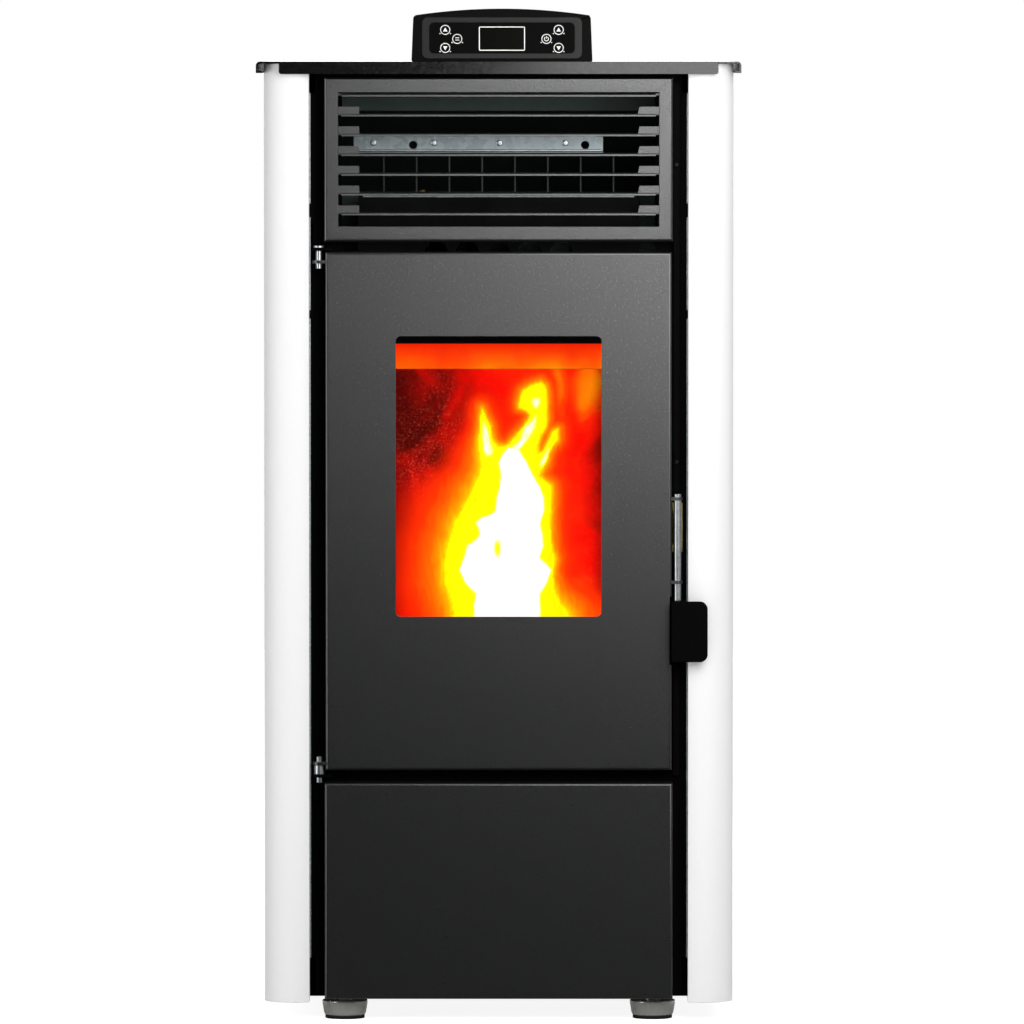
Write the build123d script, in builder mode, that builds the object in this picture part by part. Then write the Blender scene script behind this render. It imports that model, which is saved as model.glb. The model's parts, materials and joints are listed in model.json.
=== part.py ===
from build123d import *

import os
from math import cos, radians, sin

# A compact free-standing pellet stove, in millimetres. +Z is up, the front looks along -Y, and the
# origin is on the floor under the middle of the overall box.

os.makedirs("parts", exist_ok=True)

# Sheets, fits and fasteners
sheet = 2.0  # folded fronts, door, top plate and front frame
thin_sheet = 1.5  # side panels, back panel, ducts, hopper and drawer
plate = 4.0  # firebox and door frame
bend = 3.0  # outer radius of the folded edges
rest_gap = 0.3  # between resting pieces of different bodies
running_gap = 0.05  # radial, of a pin turning in its bore
press_gap = 0.02  # radial, of a pin held in its bore
screw_head = 4.0  # radius
screw_height = 2.4
screw_shank = 2.0  # radius

# Casing
case_width = 450.0  # over the side panels
case_height = 920.0  # floor to the top plate's upper face
depth_reach = 246.0  # origin to the handle's front, and to the spigot's end
front_face = -226.0  # front of door, grille and lower panel
frame_face = -202.0  # front of the frame that carries them
back_face = 208.0  # outer face of the back panel
case_bottom = 18.0  # lower edge of the side panels
panel_face = 43.5  # front width of a side panel
nose_radius = 28.0
nose_lead = 4.0  # side panels stand ahead of the door by this
rear_return = 22.0
front_margin = 1.0  # grille and lower panel beyond the door on each side
top_overhang = 7.0  # top plate beyond the side panels
lip_height = 12.0  # front fold of the top plate
lip_half = 210.0
lip_lead = 10.0  # front fold ahead of the door
side_fold = 11.0  # height of the top plate's side folds

# Door
door_half = 166.0
door_bottom = 241.0
door_rise = 48.0  # door above the firebox mouth
door_depth = 20.0
window_half = 98.5
window_bottom = 388.5
window_drop = 32.6  # window below the top of the firebox mouth
window_corner = 5.0
glass_thickness = 4.0
glass_lap = 13.5  # glass beyond the window on each side
gasket_thickness = 1.5
rope_radius = 3.8
rope_slack = 0.4  # on each side, in the channel
rope_corner = 14.0
rib_height = 5.0
hinge_offset = 6.0  # hinge axis beyond the door's left edge, and behind its face
hinge_pin_radius = 3.0
ear_thickness = 3.0
ear_radius = 6.0
ear_inset = 8.0  # ears from the door's upper and lower edges
latch_offset = 5.5  # latch rod beyond the door's right edge
latch_depth = 4.0  # latch rod behind the door's face
latch_rod_radius = 3.5
rod_wall = 1.5  # round the latch rod, in its ears and in the handle
rod_bottom = 346.0
rod_top = 506.0
rod_ears = (420.0, 500.0)
hook_bottom = 462.0
hook_top = 485.0
roller_radius = 2.0
roller_back = 6.5  # roller pin behind the latch rod
handle_height = 58.0
handle_width = 34.5
handle_thickness = 6.0
handle_corner = 7.5
handle_edge = 1.0
handle_lap = 0.5  # handle over the door's right edge
handle_stem = 5.0

# Grille and lower panel
grille_gap = 9.6  # door to grille
grille_margin = 15.0  # grille's upper edge below the top plate's upper face
field_margin = 13.5  # slot field inside the grille's sides
field_drop = 14.4  # grille's upper edge to the field
slot_pitch = 18.9
slot_count = 7
fin_depth = 12.0
fin_relief = 3.0
tab_length = 20.5
tab_height = 6.4
lower_gap = 12.0  # door to lower panel
lower_rise = 3.0  # lower panel's edge above the side panels' edge

# Firebox
mouth_half = 115.0
mouth_drop = 15.0  # mouth below the firebox roof
firebox_half = 135.0
firebox_bottom = 262.0
firebox_top = 705.0
firebox_back = 10.0
liner = 12.0
liner_relief = 1.0  # behind the back liner and round the baffle
liner_gap = 0.5  # beside the liners
shelf_top = 329.0
baffle_drop = 83.0  # baffle below the firebox roof
baffle_thickness = 25.0
baffle_front = -100.0
pot_half = 38.0
pot_y = -55.0
pot_rim = 372.0
pot_flange = 8.0
pot_wall = 3.0
drawer_half = 105.0
drawer_front = -192.0
drawer_back = -14.0
drawer_height = 50.0

# Heat exchanger and its air
exchanger_height = 85.0
exchanger_front = -196.0
tube_radius = 13.0
tube_pitch = 30.0
tube_count = 5
duct_depth = 38.0
duct_width = 58.0
fan_radius = 62.0  # inner radius of both fan housings
fan_wall = 1.5
wheel_radius = 48.0
blade_count = 12
motor_radius = 34.0

# Flue and combustion air
spigot_radius = 40.0
spigot_x = -44.0
spigot_z = 176.0
spigot_wall = 2.0
pipe_step = 0.5  # both pipes are this much thinner inside the casing
intake_radius = 25.0
intake_x = 44.0
intake_z = 300.0
intake_reach = 32.0  # beyond the back panel

# Fuel
auger_angle = 45.0
auger_tube_radius = 26.0
auger_wall = 2.0
auger_drop = 113.0  # below the baffle, where the auger's axis meets the liner's face
auger_length = 190.0
screw_clearance = 2.0
screw_pitch = 38.0
flight_thickness = 3.0
auger_shaft_radius = 8.0
spindle_radius = 6.0
throat_half = 26.0
throat_front = 70.0
throat_back = 120.0
throat_drop = 35.0  # throat's top below the auger's outlet
hopper_half = 165.0
hopper_front = -60.0
hopper_back = 195.0
hopper_step = 52.0  # front of the hopper behind the firebox
lid_half = 123.5
lid_front = -18.5
lid_back = 173.5
lid_gap = 1.5
lid_hinge_radius = 3.5
lid_pin_radius = 2.0
lid_hinge_x = 50.0
lid_knuckle = 12.0

# Control panel
control_x = 3.2
control_half = 86.5
control_taper = 1.7  # each side, at the top
control_front = -232.0
control_height = 44.0
control_crown = 6.5
control_depth = 70.0
control_lean = 8.0
fascia_width = 153.6
fascia_height = 40.5
fascia_corner = 6.0
fascia_middle = 22.5  # up the leaning face from the top plate
overlay_width = 140.4
overlay_height = 31.2
display_width = 44.0
display_height = 23.2
key_radius = 5.0
key_gap = 0.2
key_travel = 0.6

# Feet
foot_x = 77.0  # in from the side panels
foot_front = -190.0
foot_back = 172.0
foot_radius = 22.0
foot_height = 18.0
stud_radius = 5.0
stud_top = 60.0
base_thickness = 2.0

# Places worked out from the sizes above
half_case = case_width / 2
gap_edge = half_case - panel_face
underside = case_height - sheet
base_bottom = case_bottom + 4.0
base_top = base_bottom + base_thickness
mouth_top = firebox_top - mouth_drop
door_top = mouth_top + door_rise
window_top = mouth_top - window_drop
front_half = door_half + front_margin
field_half = front_half - field_margin
baffle_bottom = firebox_top - baffle_drop
auger_outlet_z = baffle_bottom - auger_drop
throat_top = auger_outlet_z - throat_drop
grille_bottom = door_top + grille_gap
grille_top = case_height - grille_margin
lower_top = door_bottom - lower_gap
lower_bottom = case_bottom + lower_rise
hinge_x = -(door_half + hinge_offset)
hinge_y = front_face + hinge_offset
latch_x = door_half + latch_offset
latch_y = front_face + latch_depth
exchanger_top = firebox_top + exchanger_height
frame_back = frame_face + sheet
frame_half = gap_edge - 5.5
glass_half = window_half + glass_lap
glass_bottom = window_bottom - glass_lap
glass_top = window_top + glass_lap
seal_face = frame_face - rest_gap - 2 * rope_radius  # back face of the door frame
shelf_back = firebox_back - plate
liner_front = shelf_back - liner_relief - liner  # face of the back liner
auger_up = (0, -cos(radians(auger_angle)), sin(radians(auger_angle)))
auger_down = (0, -auger_up[1], -auger_up[2])
mouth_bottom = firebox_bottom + plate
rope_x = mouth_half + 9.0
rope_bottom = mouth_bottom - 9.0
rope_top = mouth_top + 9.0


def span(limits):
    """Length and middle of a pair of limits."""
    return limits[1] - limits[0], (limits[0] + limits[1]) / 2


def block(x, y, z, mode=Mode.ADD):
    """A box between three pairs of limits."""
    (long, x_mid), (deep, y_mid), (high, z_mid) = span(x), span(y), span(z)
    with Locations((x_mid, y_mid, z_mid)):
        Box(long, deep, high, mode=mode)


def bar(start, direction, radius, length, mode=Mode.ADD):
    """A round bar from a point along a direction."""
    with Locations(Plane(origin=start, z_dir=direction)):
        Cylinder(radius, length, align=(Align.CENTER, Align.CENTER, Align.MIN), mode=mode)


def pan(half_width, bottom, top, depth):
    """A sheet folded back on its four sides, open at the back."""
    block((-half_width, half_width), (front_face, front_face + depth), (bottom, top))
    fillet(edges().group_by(Axis.Y)[0], radius=bend)
    inside = (-half_width + sheet, half_width - sheet)
    block(inside, (front_face + sheet, front_face + depth), (bottom + sheet, top - sheet), Mode.SUBTRACT)


def on_auger(down):
    """The point of the auger's axis that lies some way down from its outlet."""
    return (0, liner_front + auger_down[1] * down, auger_outlet_z + auger_down[2] * down)


def ear(pin_x, pin_y, root_x, z, radius, bore):
    """A rounded plate with a bore, reaching from a pin to its root."""
    block((min(pin_x, root_x), max(pin_x, root_x)), (pin_y - radius, pin_y + radius), (z, z + ear_thickness))
    bar((pin_x, pin_y, z), (0, 0, 1), radius, ear_thickness)
    bar((pin_x, pin_y, z), (0, 0, 1), bore, ear_thickness, Mode.SUBTRACT)


# Side panels: one sheet from the rear return round the nose to the flange in the gap
panel_rear = back_face - thin_sheet
nose_x = half_case - nose_radius
flange_gap = 4.0  # flange's end to the front frame

with BuildPart() as side_panel_right:
    with BuildSketch(Plane.XY.offset(case_bottom)):
        with BuildLine():
            rear = Line((half_case - rear_return, panel_rear), (half_case, panel_rear))
            flank = Line(rear @ 1, (half_case, front_face - nose_lead + nose_radius))
            nose = TangentArc(flank @ 1, (nose_x, front_face - nose_lead), tangent=flank % 1)
            face = TangentArc(nose @ 1, (gap_edge, front_face), tangent=nose % 1)
            Line(face @ 1, (gap_edge, frame_face - flange_gap))
            offset(amount=thin_sheet, side=Side.RIGHT)
        make_face()
    extrude(amount=underside - case_bottom)
side_panel_right.part.label = "side_panel_right"
export_step(side_panel_right.part, "parts/side_panel_right.step")

with BuildPart() as side_panel_left:
    mirror(side_panel_right.part, about=Plane.YZ)
side_panel_left.part.label = "side_panel_left"
export_step(side_panel_left.part, "parts/side_panel_left.step")

# Galvanised rails that hold the side panels' flanges to the front frame, cut away at the hinge
rail_sheet = 1.4
rail_front = frame_face - 14.0
rail_bottom = 60.0
rail_top = grille_top - 15.0
rail_foot = 16.0  # width of the rail's part behind the frame
rail_breaks = ((door_top + 33.0, door_top + 46.0), (door_top - 64.0, door_top - 56.0))

with BuildPart() as panel_rails:
    for side in (-1, 1):
        inner, outer = side * (gap_edge - rail_sheet), side * gap_edge
        edge = side * (frame_half - rail_foot)
        along = (min(inner, outer), max(inner, outer))
        block(along, (rail_front, frame_back + rail_sheet), (rail_bottom, rail_top))
        foot = (min(edge, outer), max(edge, outer))
        block(foot, (frame_back, frame_back + rail_sheet), (rail_bottom, rail_top))
        for rail_break in rail_breaks:
            block(along, (rail_front, frame_face), rail_break, Mode.SUBTRACT)
panel_rails.part.label = "panel_rails"
export_step(panel_rails.part, "parts/panel_rails.step")

# Top plate with its front lip, folded side edges and the fixed halves of the lid's hinges
plate_half = half_case + top_overhang
lip_front = front_face - lip_lead
lip_setback = 4.0  # side folds behind the front lip
lip_corner = 2.5
fold_radius = 4.0
fold_gap = 0.4  # to the side panels
fold_bottom = case_height - side_fold
fold_inner = half_case + fold_gap
lid_opening_half = lid_half + lid_gap
lid_axis_inset = 0.5  # hinge axis ahead of the opening's rear edge
lid_axis_y = lid_back + lid_gap - lid_axis_inset
lid_axis_z = case_height + lid_hinge_radius
knuckle_gap = 0.4
leaf_length = 16.0


def lid_knuckles(offsets, leaf_end):
    """Knuckles with a leaf on the plate, at some places along each lid hinge."""
    for hinge in (-lid_hinge_x, lid_hinge_x):
        for place in offsets:
            middle = hinge + place
            x = (middle - lid_knuckle / 2 + knuckle_gap / 2, middle + lid_knuckle / 2 - knuckle_gap / 2)
            y = (min(lid_axis_y, leaf_end), max(lid_axis_y, leaf_end))
            block(x, y, (case_height, case_height + thin_sheet))
            bar((x[0], lid_axis_y, lid_axis_z), (1, 0, 0), lid_hinge_radius, x[1] - x[0])


with BuildPart() as top_plate:
    block((-plate_half, plate_half), (lip_front + lip_setback, back_face), (fold_bottom, case_height))
    fillet(edges().filter_by(Axis.Y).group_by(Axis.Z)[-1], radius=fold_radius)
    fold_inside = (-plate_half + sheet, plate_half - sheet)
    fold_y = (lip_front + lip_setback, back_face)
    block(fold_inside, fold_y, (fold_bottom + sheet, underside), Mode.SUBTRACT)
    block((-fold_inner, fold_inner), fold_y, (fold_bottom, underside), Mode.SUBTRACT)
    block((-lip_half, lip_half), (lip_front, lip_front + lip_setback), (underside, case_height))
    with BuildSketch(Plane.XZ.offset(-lip_front)):
        with Locations((0, case_height - lip_height / 2)):
            lip = Rectangle(2 * lip_half, lip_height)
        fillet(lip.vertices().group_by(Axis.Y)[0], radius=lip_corner)
    extrude(amount=-sheet)
    lid_opening_y = (lid_front - lid_gap, lid_back + lid_gap)
    block((-lid_opening_half, lid_opening_half), lid_opening_y, (underside, case_height), Mode.SUBTRACT)
    lid_knuckles((-lid_knuckle, lid_knuckle), lid_axis_y + leaf_length)
    for hinge in (-lid_hinge_x, lid_hinge_x):
        start = (hinge - 1.5 * lid_knuckle, lid_axis_y, lid_axis_z)
        bar(start, (1, 0, 0), lid_pin_radius + press_gap, 3 * lid_knuckle, Mode.SUBTRACT)
top_plate.part.label = "top_plate"
export_step(top_plate.part, "parts/top_plate.step")

# Hopper lid: flush in the top plate, with a folded grip at its front
grip_half = 40.0
grip_height = 12.0

with BuildPart() as hopper_lid:
    block((-lid_half, lid_half), (lid_front, lid_back), (underside, case_height))
    block((-grip_half, grip_half), (lid_front, lid_front + sheet), (case_height, case_height + grip_height))
    grip_top = case_height + grip_height
    block((-grip_half, grip_half), (lid_front, lid_front + grip_height), (grip_top - sheet, grip_top))
    lid_knuckles((0.0,), lid_axis_y - leaf_length)
    for hinge in (-lid_hinge_x, lid_hinge_x):
        start = (hinge - lid_knuckle, lid_axis_y, lid_axis_z)
        bar(start, (1, 0, 0), lid_pin_radius + running_gap, 2 * lid_knuckle, Mode.SUBTRACT)
hopper_lid.part.label = "hopper_lid"
export_step(hopper_lid.part, "parts/hopper_lid.step")

# Front grille: bent fins under short end tabs
field_top = grille_top - field_drop
field_bottom = field_top - slot_count * slot_pitch + 4.0
first_fin = field_top - 1.0
fin_half = field_half - fin_relief

with BuildPart() as front_grille:
    pan(front_half, grille_bottom, grille_top, frame_face - front_face)
    field_y = (front_face, front_face + sheet)
    block((-field_half, field_half), field_y, (field_bottom, field_top), Mode.SUBTRACT)
    for slot in range(slot_count):
        fin_top = first_fin - slot * slot_pitch
        block((-fin_half, fin_half), (front_face, front_face + fin_depth), (fin_top - sheet, fin_top))
        if slot:
            for side in (-1, 1):
                ends = sorted((side * field_half, side * (field_half - tab_length)))
                block(ends, field_y, (fin_top - sheet / 2, fin_top + tab_height))
    for side in (-1, 1):
        ends = sorted((side * (fin_half - 2 * fin_relief), side * (front_half - sheet / 2)))
        block(ends, (front_face + sheet, front_face + fin_depth), (first_fin - sheet, first_fin))
front_grille.part.label = "front_grille"
export_step(front_grille.part, "parts/front_grille.step")

# Lower front panel
with BuildPart() as lower_front_panel:
    pan(front_half, lower_bottom, lower_top, frame_face - front_face)
lower_front_panel.part.label = "lower_front_panel"
export_step(lower_front_panel.part, "parts/lower_front_panel.step")

# Front frame: a sheet with the firebox mouth, the air outlet and a service opening
outlet_half = front_half - 17.0
outlet_bottom = mouth_top + 26.0
outlet_top = grille_top - 12.0
service_half = front_half - 37.0
service_bottom = base_top + 26.0
service_top = lower_top - 29.0
strip_x = (front_half + 0.5, front_half + 6.5)
strip_front = frame_face - 10.0
strike_bottom = hook_bottom - 12.0
strike_top = hook_top + 12.0
strip_lower = (lower_top + 6.0, strike_bottom - 10.0)
strip_upper = (strike_top + 10.0, grille_top - 5.0)

with BuildPart() as front_frame:
    frame_y = (frame_face, frame_back)
    block((-frame_half, frame_half), frame_y, (base_top, underside))
    block((-mouth_half, mouth_half), frame_y, (mouth_bottom, mouth_top), Mode.SUBTRACT)
    block((-outlet_half, outlet_half), frame_y, (outlet_bottom, outlet_top), Mode.SUBTRACT)
    block((-service_half, service_half), frame_y, (service_bottom, service_top), Mode.SUBTRACT)
    for strip_z in (strip_lower, strip_upper):
        block(strip_x, (strip_front, frame_face), strip_z)
front_frame.part.label = "front_frame"
export_step(front_frame.part, "parts/front_frame.step")

# Base plate with the legs under the firebox and the weld nuts of the feet
leg_width = 25.0
leg_sheet = 3.0
nut_across = 17.0
nut_height = 8.0
foot_places = [(side * (half_case - foot_x), y) for y in (foot_front, foot_back) for side in (-1, 1)]

with BuildPart() as base_plate:
    base_edge = half_case - thin_sheet
    block((-base_edge, base_edge), (frame_face, panel_rear - thin_sheet), (base_bottom, base_top))
    for side in (-1, 1):
        across = sorted((side * (firebox_half - leg_width), side * firebox_half))
        flat = sorted((side * (firebox_half - leg_sheet), side * firebox_half))
        for y, inward in ((frame_back, 1), (firebox_back, -1)):
            along = sorted((y, y + inward * leg_width))
            edge = sorted((y, y + inward * leg_sheet))
            block(across, edge, (base_top, firebox_bottom))
            block(flat, along, (base_top, firebox_bottom))
    with BuildSketch(Plane.XY.offset(base_top)):
        with Locations(*foot_places):
            RegularPolygon(nut_across / 2, 6, major_radius=False)
    extrude(amount=nut_height)
    for x, y in foot_places:
        reach = nut_height + base_thickness
        bar((x, y, base_bottom), (0, 0, 1), stud_radius + running_gap, reach, Mode.SUBTRACT)
base_plate.part.label = "base_plate"
export_step(base_plate.part, "parts/base_plate.step")

# Levelling feet: a tapered cup on a stud, with a rubber pad under it
pad_height = 3.0
pad_seat = 0.1  # between pad and cup
pad_radius = foot_radius - 3.0
cup_radius = foot_radius - 2.5  # lower edge of the cup
collar_radius = stud_radius + 4.0
collar_height = 3.0
foot_names = ("foot_front_left", "foot_front_right", "foot_rear_left", "foot_rear_right")

for foot_name, (x, y) in zip(foot_names, foot_places):
    with BuildPart() as levelling_foot:
        with BuildSketch(Plane.XY.offset(pad_height)):
            with Locations((x, y)):
                Circle(cup_radius)
        with BuildSketch(Plane.XY.offset(foot_height)):
            with Locations((x, y)):
                Circle(foot_radius)
        loft()
        bar((x, y, foot_height), (0, 0, 1), stud_radius, stud_top - foot_height)
        bar((x, y, foot_height), (0, 0, 1), collar_radius, collar_height)
        bar((x, y, 0), (0, 0, 1), pad_radius, pad_height - pad_seat)
    levelling_foot.part.label = foot_name
    export_step(levelling_foot.part, f"parts/{foot_name}.step")

# Back panel with the openings of the flue, the air intake and the power inlet, and its vent slots
inlet_x = 160.0
inlet_z = 88.0
inlet_width = 46.0
inlet_height = 78.0
vent_length = 50.0
vent_width = 5.0
vent_pitch = 15.0
vent_rows = 8
vent_place = (-140.0, 330.0)
pipe_clearance = 1.0
inlet_clearance = 0.2
back_half = half_case - sheet
screw_heights = (50.0, 340.0, 620.0, 890.0)
screw_inset = 12.0
panel_screws = [(side * (half_case - screw_inset), z) for side in (-1, 1) for z in screw_heights]

with BuildPart() as back_panel:
    block((-back_half, back_half), (panel_rear, back_face), (base_bottom, underside))
    with BuildSketch(Plane.XZ.offset(-back_face)):
        with Locations((spigot_x, spigot_z)):
            Circle(spigot_radius + pipe_clearance)
        with Locations((intake_x, intake_z)):
            Circle(intake_radius + pipe_clearance)
        with Locations((inlet_x, inlet_z)):
            Rectangle(inlet_width + 2 * inlet_clearance, inlet_height + 2 * inlet_clearance)
        with Locations(vent_place):
            with GridLocations(vent_length, vent_pitch, 1, vent_rows):
                SlotOverall(vent_length, vent_width)
        with Locations(*panel_screws):
            Circle(screw_shank + press_gap)
    extrude(amount=thin_sheet, mode=Mode.SUBTRACT)
back_panel.part.label = "back_panel"
export_step(back_panel.part, "parts/back_panel.step")

# Casing screws: back panel, stop strip and air outlet bracket
strip_screw_heights = (536.0, 821.0)
strip_screws = [(sum(strip_x) / 2, z) for z in strip_screw_heights]
bracket_middle = case_height - 78.0
bracket_screw_places = (-120.0, -62.0, 1.0, 64.0)
bracket_screws = [(x, bracket_middle) for x in bracket_screw_places]
bracket_front = exchanger_front - 3.0
strip_head = 2.5  # radius
bracket_head = 3.0  # radius
low_head = 1.5  # height of the strip's and the bracket's screw heads

with BuildPart() as casing_screws:
    for x, z in panel_screws:
        bar((x, back_face, z), (0, 1, 0), screw_head, screw_height)
        bar((x, panel_rear, z), (0, 1, 0), screw_shank, thin_sheet)
    for x, z in strip_screws:
        bar((x, strip_front, z), (0, -1, 0), strip_head, low_head)
    for x, z in bracket_screws:
        bar((x, bracket_front, z), (0, -1, 0), bracket_head, low_head)
casing_screws.part.label = "casing_screws"
export_step(casing_screws.part, "parts/casing_screws.step")

# Hinge brackets on the front frame, and the pins of door and lid
lug_edge = hinge_x - ear_radius
lug_inner = hinge_x + 12.0
upper_lug = door_top + 1.0
lower_lug = door_bottom - 4.0 - ear_thickness
bracket_leg = 26.0
leg_edge = -front_half - 1.0
upper_ear = door_top - ear_inset - ear_thickness
lower_ear = door_bottom + ear_inset - ear_thickness
pin_reach = 5.0  # pins beyond their ears
shoulder_radius = 5.0
pin_head = 2.0

with BuildPart() as door_hinge_brackets:
    for lug, leg in ((upper_lug, (upper_lug, upper_lug + bracket_leg)),
                     (lower_lug, (lower_lug + ear_thickness - bracket_leg, lower_lug + ear_thickness))):
        block((lug_edge, lug_inner), (hinge_y, frame_face), (lug, lug + ear_thickness))
        bar((hinge_x, hinge_y, lug), (0, 0, 1), ear_radius, ear_thickness)
        block((lug_edge, leg_edge), (frame_face - ear_thickness, frame_face), leg)
        bar((hinge_x, hinge_y, lug), (0, 0, 1), hinge_pin_radius + press_gap, ear_thickness, Mode.SUBTRACT)
door_hinge_brackets.part.label = "door_hinge_brackets"
export_step(door_hinge_brackets.part, "parts/door_hinge_brackets.step")

with BuildPart() as hinge_pins:
    upper_pin = (hinge_x, hinge_y, upper_ear - pin_reach)
    bar(upper_pin, (0, 0, 1), hinge_pin_radius, upper_lug + ear_thickness - upper_ear + pin_reach)
    upper_head = (hinge_x, hinge_y, upper_lug + ear_thickness)
    bar(upper_head, (0, 0, 1), shoulder_radius, pin_head)
    lower_pin = (hinge_x, hinge_y, lower_lug - pin_reach)
    bar(lower_pin, (0, 0, 1), hinge_pin_radius, lower_ear + ear_thickness + 2 * pin_reach - lower_lug)
    shoulder = (hinge_x, hinge_y, lower_lug + ear_thickness)
    bar(shoulder, (0, 0, 1), shoulder_radius, lower_ear - rest_gap - lower_lug - ear_thickness)
    for hinge in (-lid_hinge_x, lid_hinge_x):
        start = (hinge - 1.5 * lid_knuckle, lid_axis_y, lid_axis_z)
        bar(start, (1, 0, 0), lid_pin_radius, 3 * lid_knuckle)
hinge_pins.part.label = "hinge_pins"
export_step(hinge_pins.part, "parts/hinge_pins.step")

# Strike: a roller pin between two tabs on the front frame, which the door's hook holds
roller_x = latch_x - 2.7
roller_y = latch_y + roller_back
tab_sheet = 2.5
tab_lead = 0.5  # tabs ahead of the roller
strike_gap = 4.5  # between hook and tabs
strike_flange = 4.0  # strike's plate beyond its tabs
strike_x = (door_half + 0.8, latch_x + 0.8)
roller_start = hook_bottom - strike_gap
roller_end = hook_top + strike_gap

with BuildPart() as latch_strike:
    strike_z = (strike_bottom, strike_top)
    block((strike_x[0], strike_x[1] + strike_flange), (frame_face - sheet, frame_face), strike_z)
    for z in (roller_start - tab_sheet, roller_end):
        block(strike_x, (roller_y - roller_radius - tab_lead, frame_face), (z, z + tab_sheet))
    bar((roller_x, roller_y, roller_start), (0, 0, 1), roller_radius, roller_end - roller_start)
latch_strike.part.label = "latch_strike"
export_step(latch_strike.part, "parts/latch_strike.step")

# Door panel: folded skin with the window, the hinge ears, the latch rod's ears and the handle's notch
handle_top = rod_bottom + handle_height
notch = 4.0

with BuildPart() as door_panel:
    pan(door_half, door_bottom, door_top, door_depth)
    with BuildSketch(Plane.XZ.offset(-front_face)):
        with Locations((0, (window_bottom + window_top) / 2)):
            RectangleRounded(2 * window_half, window_top - window_bottom, window_corner)
    extrude(amount=-sheet, mode=Mode.SUBTRACT)
    notch_z = (rod_bottom - notch, handle_top + notch)
    notch_y = (front_face, front_face + door_depth)
    block((door_half - sheet, door_half), notch_y, notch_z, Mode.SUBTRACT)
    for z in (upper_ear, lower_ear):
        ear(hinge_x, hinge_y, sheet / 2 - door_half, z, ear_radius, hinge_pin_radius + running_gap)
    for z in rod_ears:
        outer, bore = latch_rod_radius + rod_wall, latch_rod_radius + running_gap
        ear(latch_x, latch_y, door_half - sheet / 2, z, outer, bore)
door_panel.part.label = "door_panel"
export_step(door_panel.part, "parts/door_panel.step")

# Door frame: the steel plate behind the glass, with the channel of the rope seal
frame_window = glass_lap - 9.0  # the plate's opening beyond the window
plate_front = seal_face - plate

with BuildPart() as door_frame:
    door_inner = door_half - sheet
    block((-door_inner, door_inner), (plate_front, seal_face), (door_bottom + sheet, door_top - sheet))
    for inner_side, outer_side in ((-rope_radius - rope_slack - sheet, -rope_radius - rope_slack),
                                   (rope_radius + rope_slack, rope_radius + rope_slack + sheet)):
        with BuildSketch(Plane.XZ.offset(-seal_face)):
            with Locations((0, (rope_bottom + rope_top) / 2)):
                high = rope_top - rope_bottom
                RectangleRounded(2 * (rope_x + outer_side), high + 2 * outer_side, rope_corner + outer_side)
                RectangleRounded(2 * (rope_x + inner_side), high + 2 * inner_side, rope_corner + inner_side,
                                 mode=Mode.SUBTRACT)
        extrude(amount=-rib_height)
    with BuildSketch(Plane.XZ.offset(-plate_front)):
        with Locations((0, (window_bottom + window_top) / 2)):
            wide = 2 * (window_half + frame_window)
            high = window_top - window_bottom + 2 * frame_window
            RectangleRounded(wide, high, window_corner + frame_window)
    extrude(amount=-plate, mode=Mode.SUBTRACT)
door_frame.part.label = "door_frame"
export_step(door_frame.part, "parts/door_frame.step")

# Rope seal, glass, its flat gasket and its clips
with BuildPart() as door_rope_seal:
    with BuildLine(Plane.XZ.offset(-(seal_face + rope_radius))):
        corners = [(-rope_x, rope_bottom), (rope_x, rope_bottom), (rope_x, rope_top), (-rope_x, rope_top)]
        rope_path = FilletPolyline(*corners, radius=rope_corner, close=True)
    with BuildSketch(Plane(origin=rope_path @ 0, z_dir=rope_path % 0)):
        Circle(rope_radius)
    sweep(path=rope_path)
door_rope_seal.part.label = "door_rope_seal"
export_step(door_rope_seal.part, "parts/door_rope_seal.step")

glass_back = plate_front - gasket_thickness
glass_front = glass_back - glass_thickness
gasket_width = 7.0
glass_corner = 2.0

with BuildPart() as glass_gasket:
    with BuildSketch(Plane.XZ.offset(-glass_back)):
        with Locations((0, (glass_bottom + glass_top) / 2)):
            Rectangle(2 * glass_half, glass_top - glass_bottom)
            Rectangle(2 * (glass_half - gasket_width), glass_top - glass_bottom - 2 * gasket_width,
                      mode=Mode.SUBTRACT)
    extrude(amount=-gasket_thickness)
glass_gasket.part.label = "glass_gasket"
export_step(glass_gasket.part, "parts/glass_gasket.step")

with BuildPart() as door_glass:
    block((-glass_half, glass_half), (glass_front, glass_back), (glass_bottom, glass_top))
    fillet(edges().filter_by(Axis.Y), radius=glass_corner)
door_glass.part.label = "door_glass"
export_step(door_glass.part, "parts/door_glass.step")

clip_width = 16.0
clip_lap = 4.0
clip_foot = 8.0
clip_gap = 0.5  # beside the glass
clip_places = (0.2, 0.5, 0.8)  # up the glass

with BuildPart() as glass_clips:
    for side in (-1, 1):
        hold = sorted((side * (glass_half - clip_lap), side * (glass_half + clip_foot)))
        stand = sorted((side * (glass_half + clip_gap), side * (glass_half + clip_foot)))
        for share in clip_places:
            middle = glass_bottom + share * (glass_top - glass_bottom)
            z = (middle - clip_width / 2, middle + clip_width / 2)
            block(hold, (glass_front - thin_sheet, glass_front), z)
            block(stand, (glass_front - thin_sheet, plate_front), z)
glass_clips.part.label = "glass_clips"
export_step(glass_clips.part, "parts/glass_clips.step")

# Latch rod with its hook, and the handle pressed on its lower end
arm_left = -0.2  # hook's arm beside the rod's middle
arm_right = 2.3
finger_tip = -4.4
finger_front = roller_back + roller_radius + 0.8
finger_back = finger_front + 2.5

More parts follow.
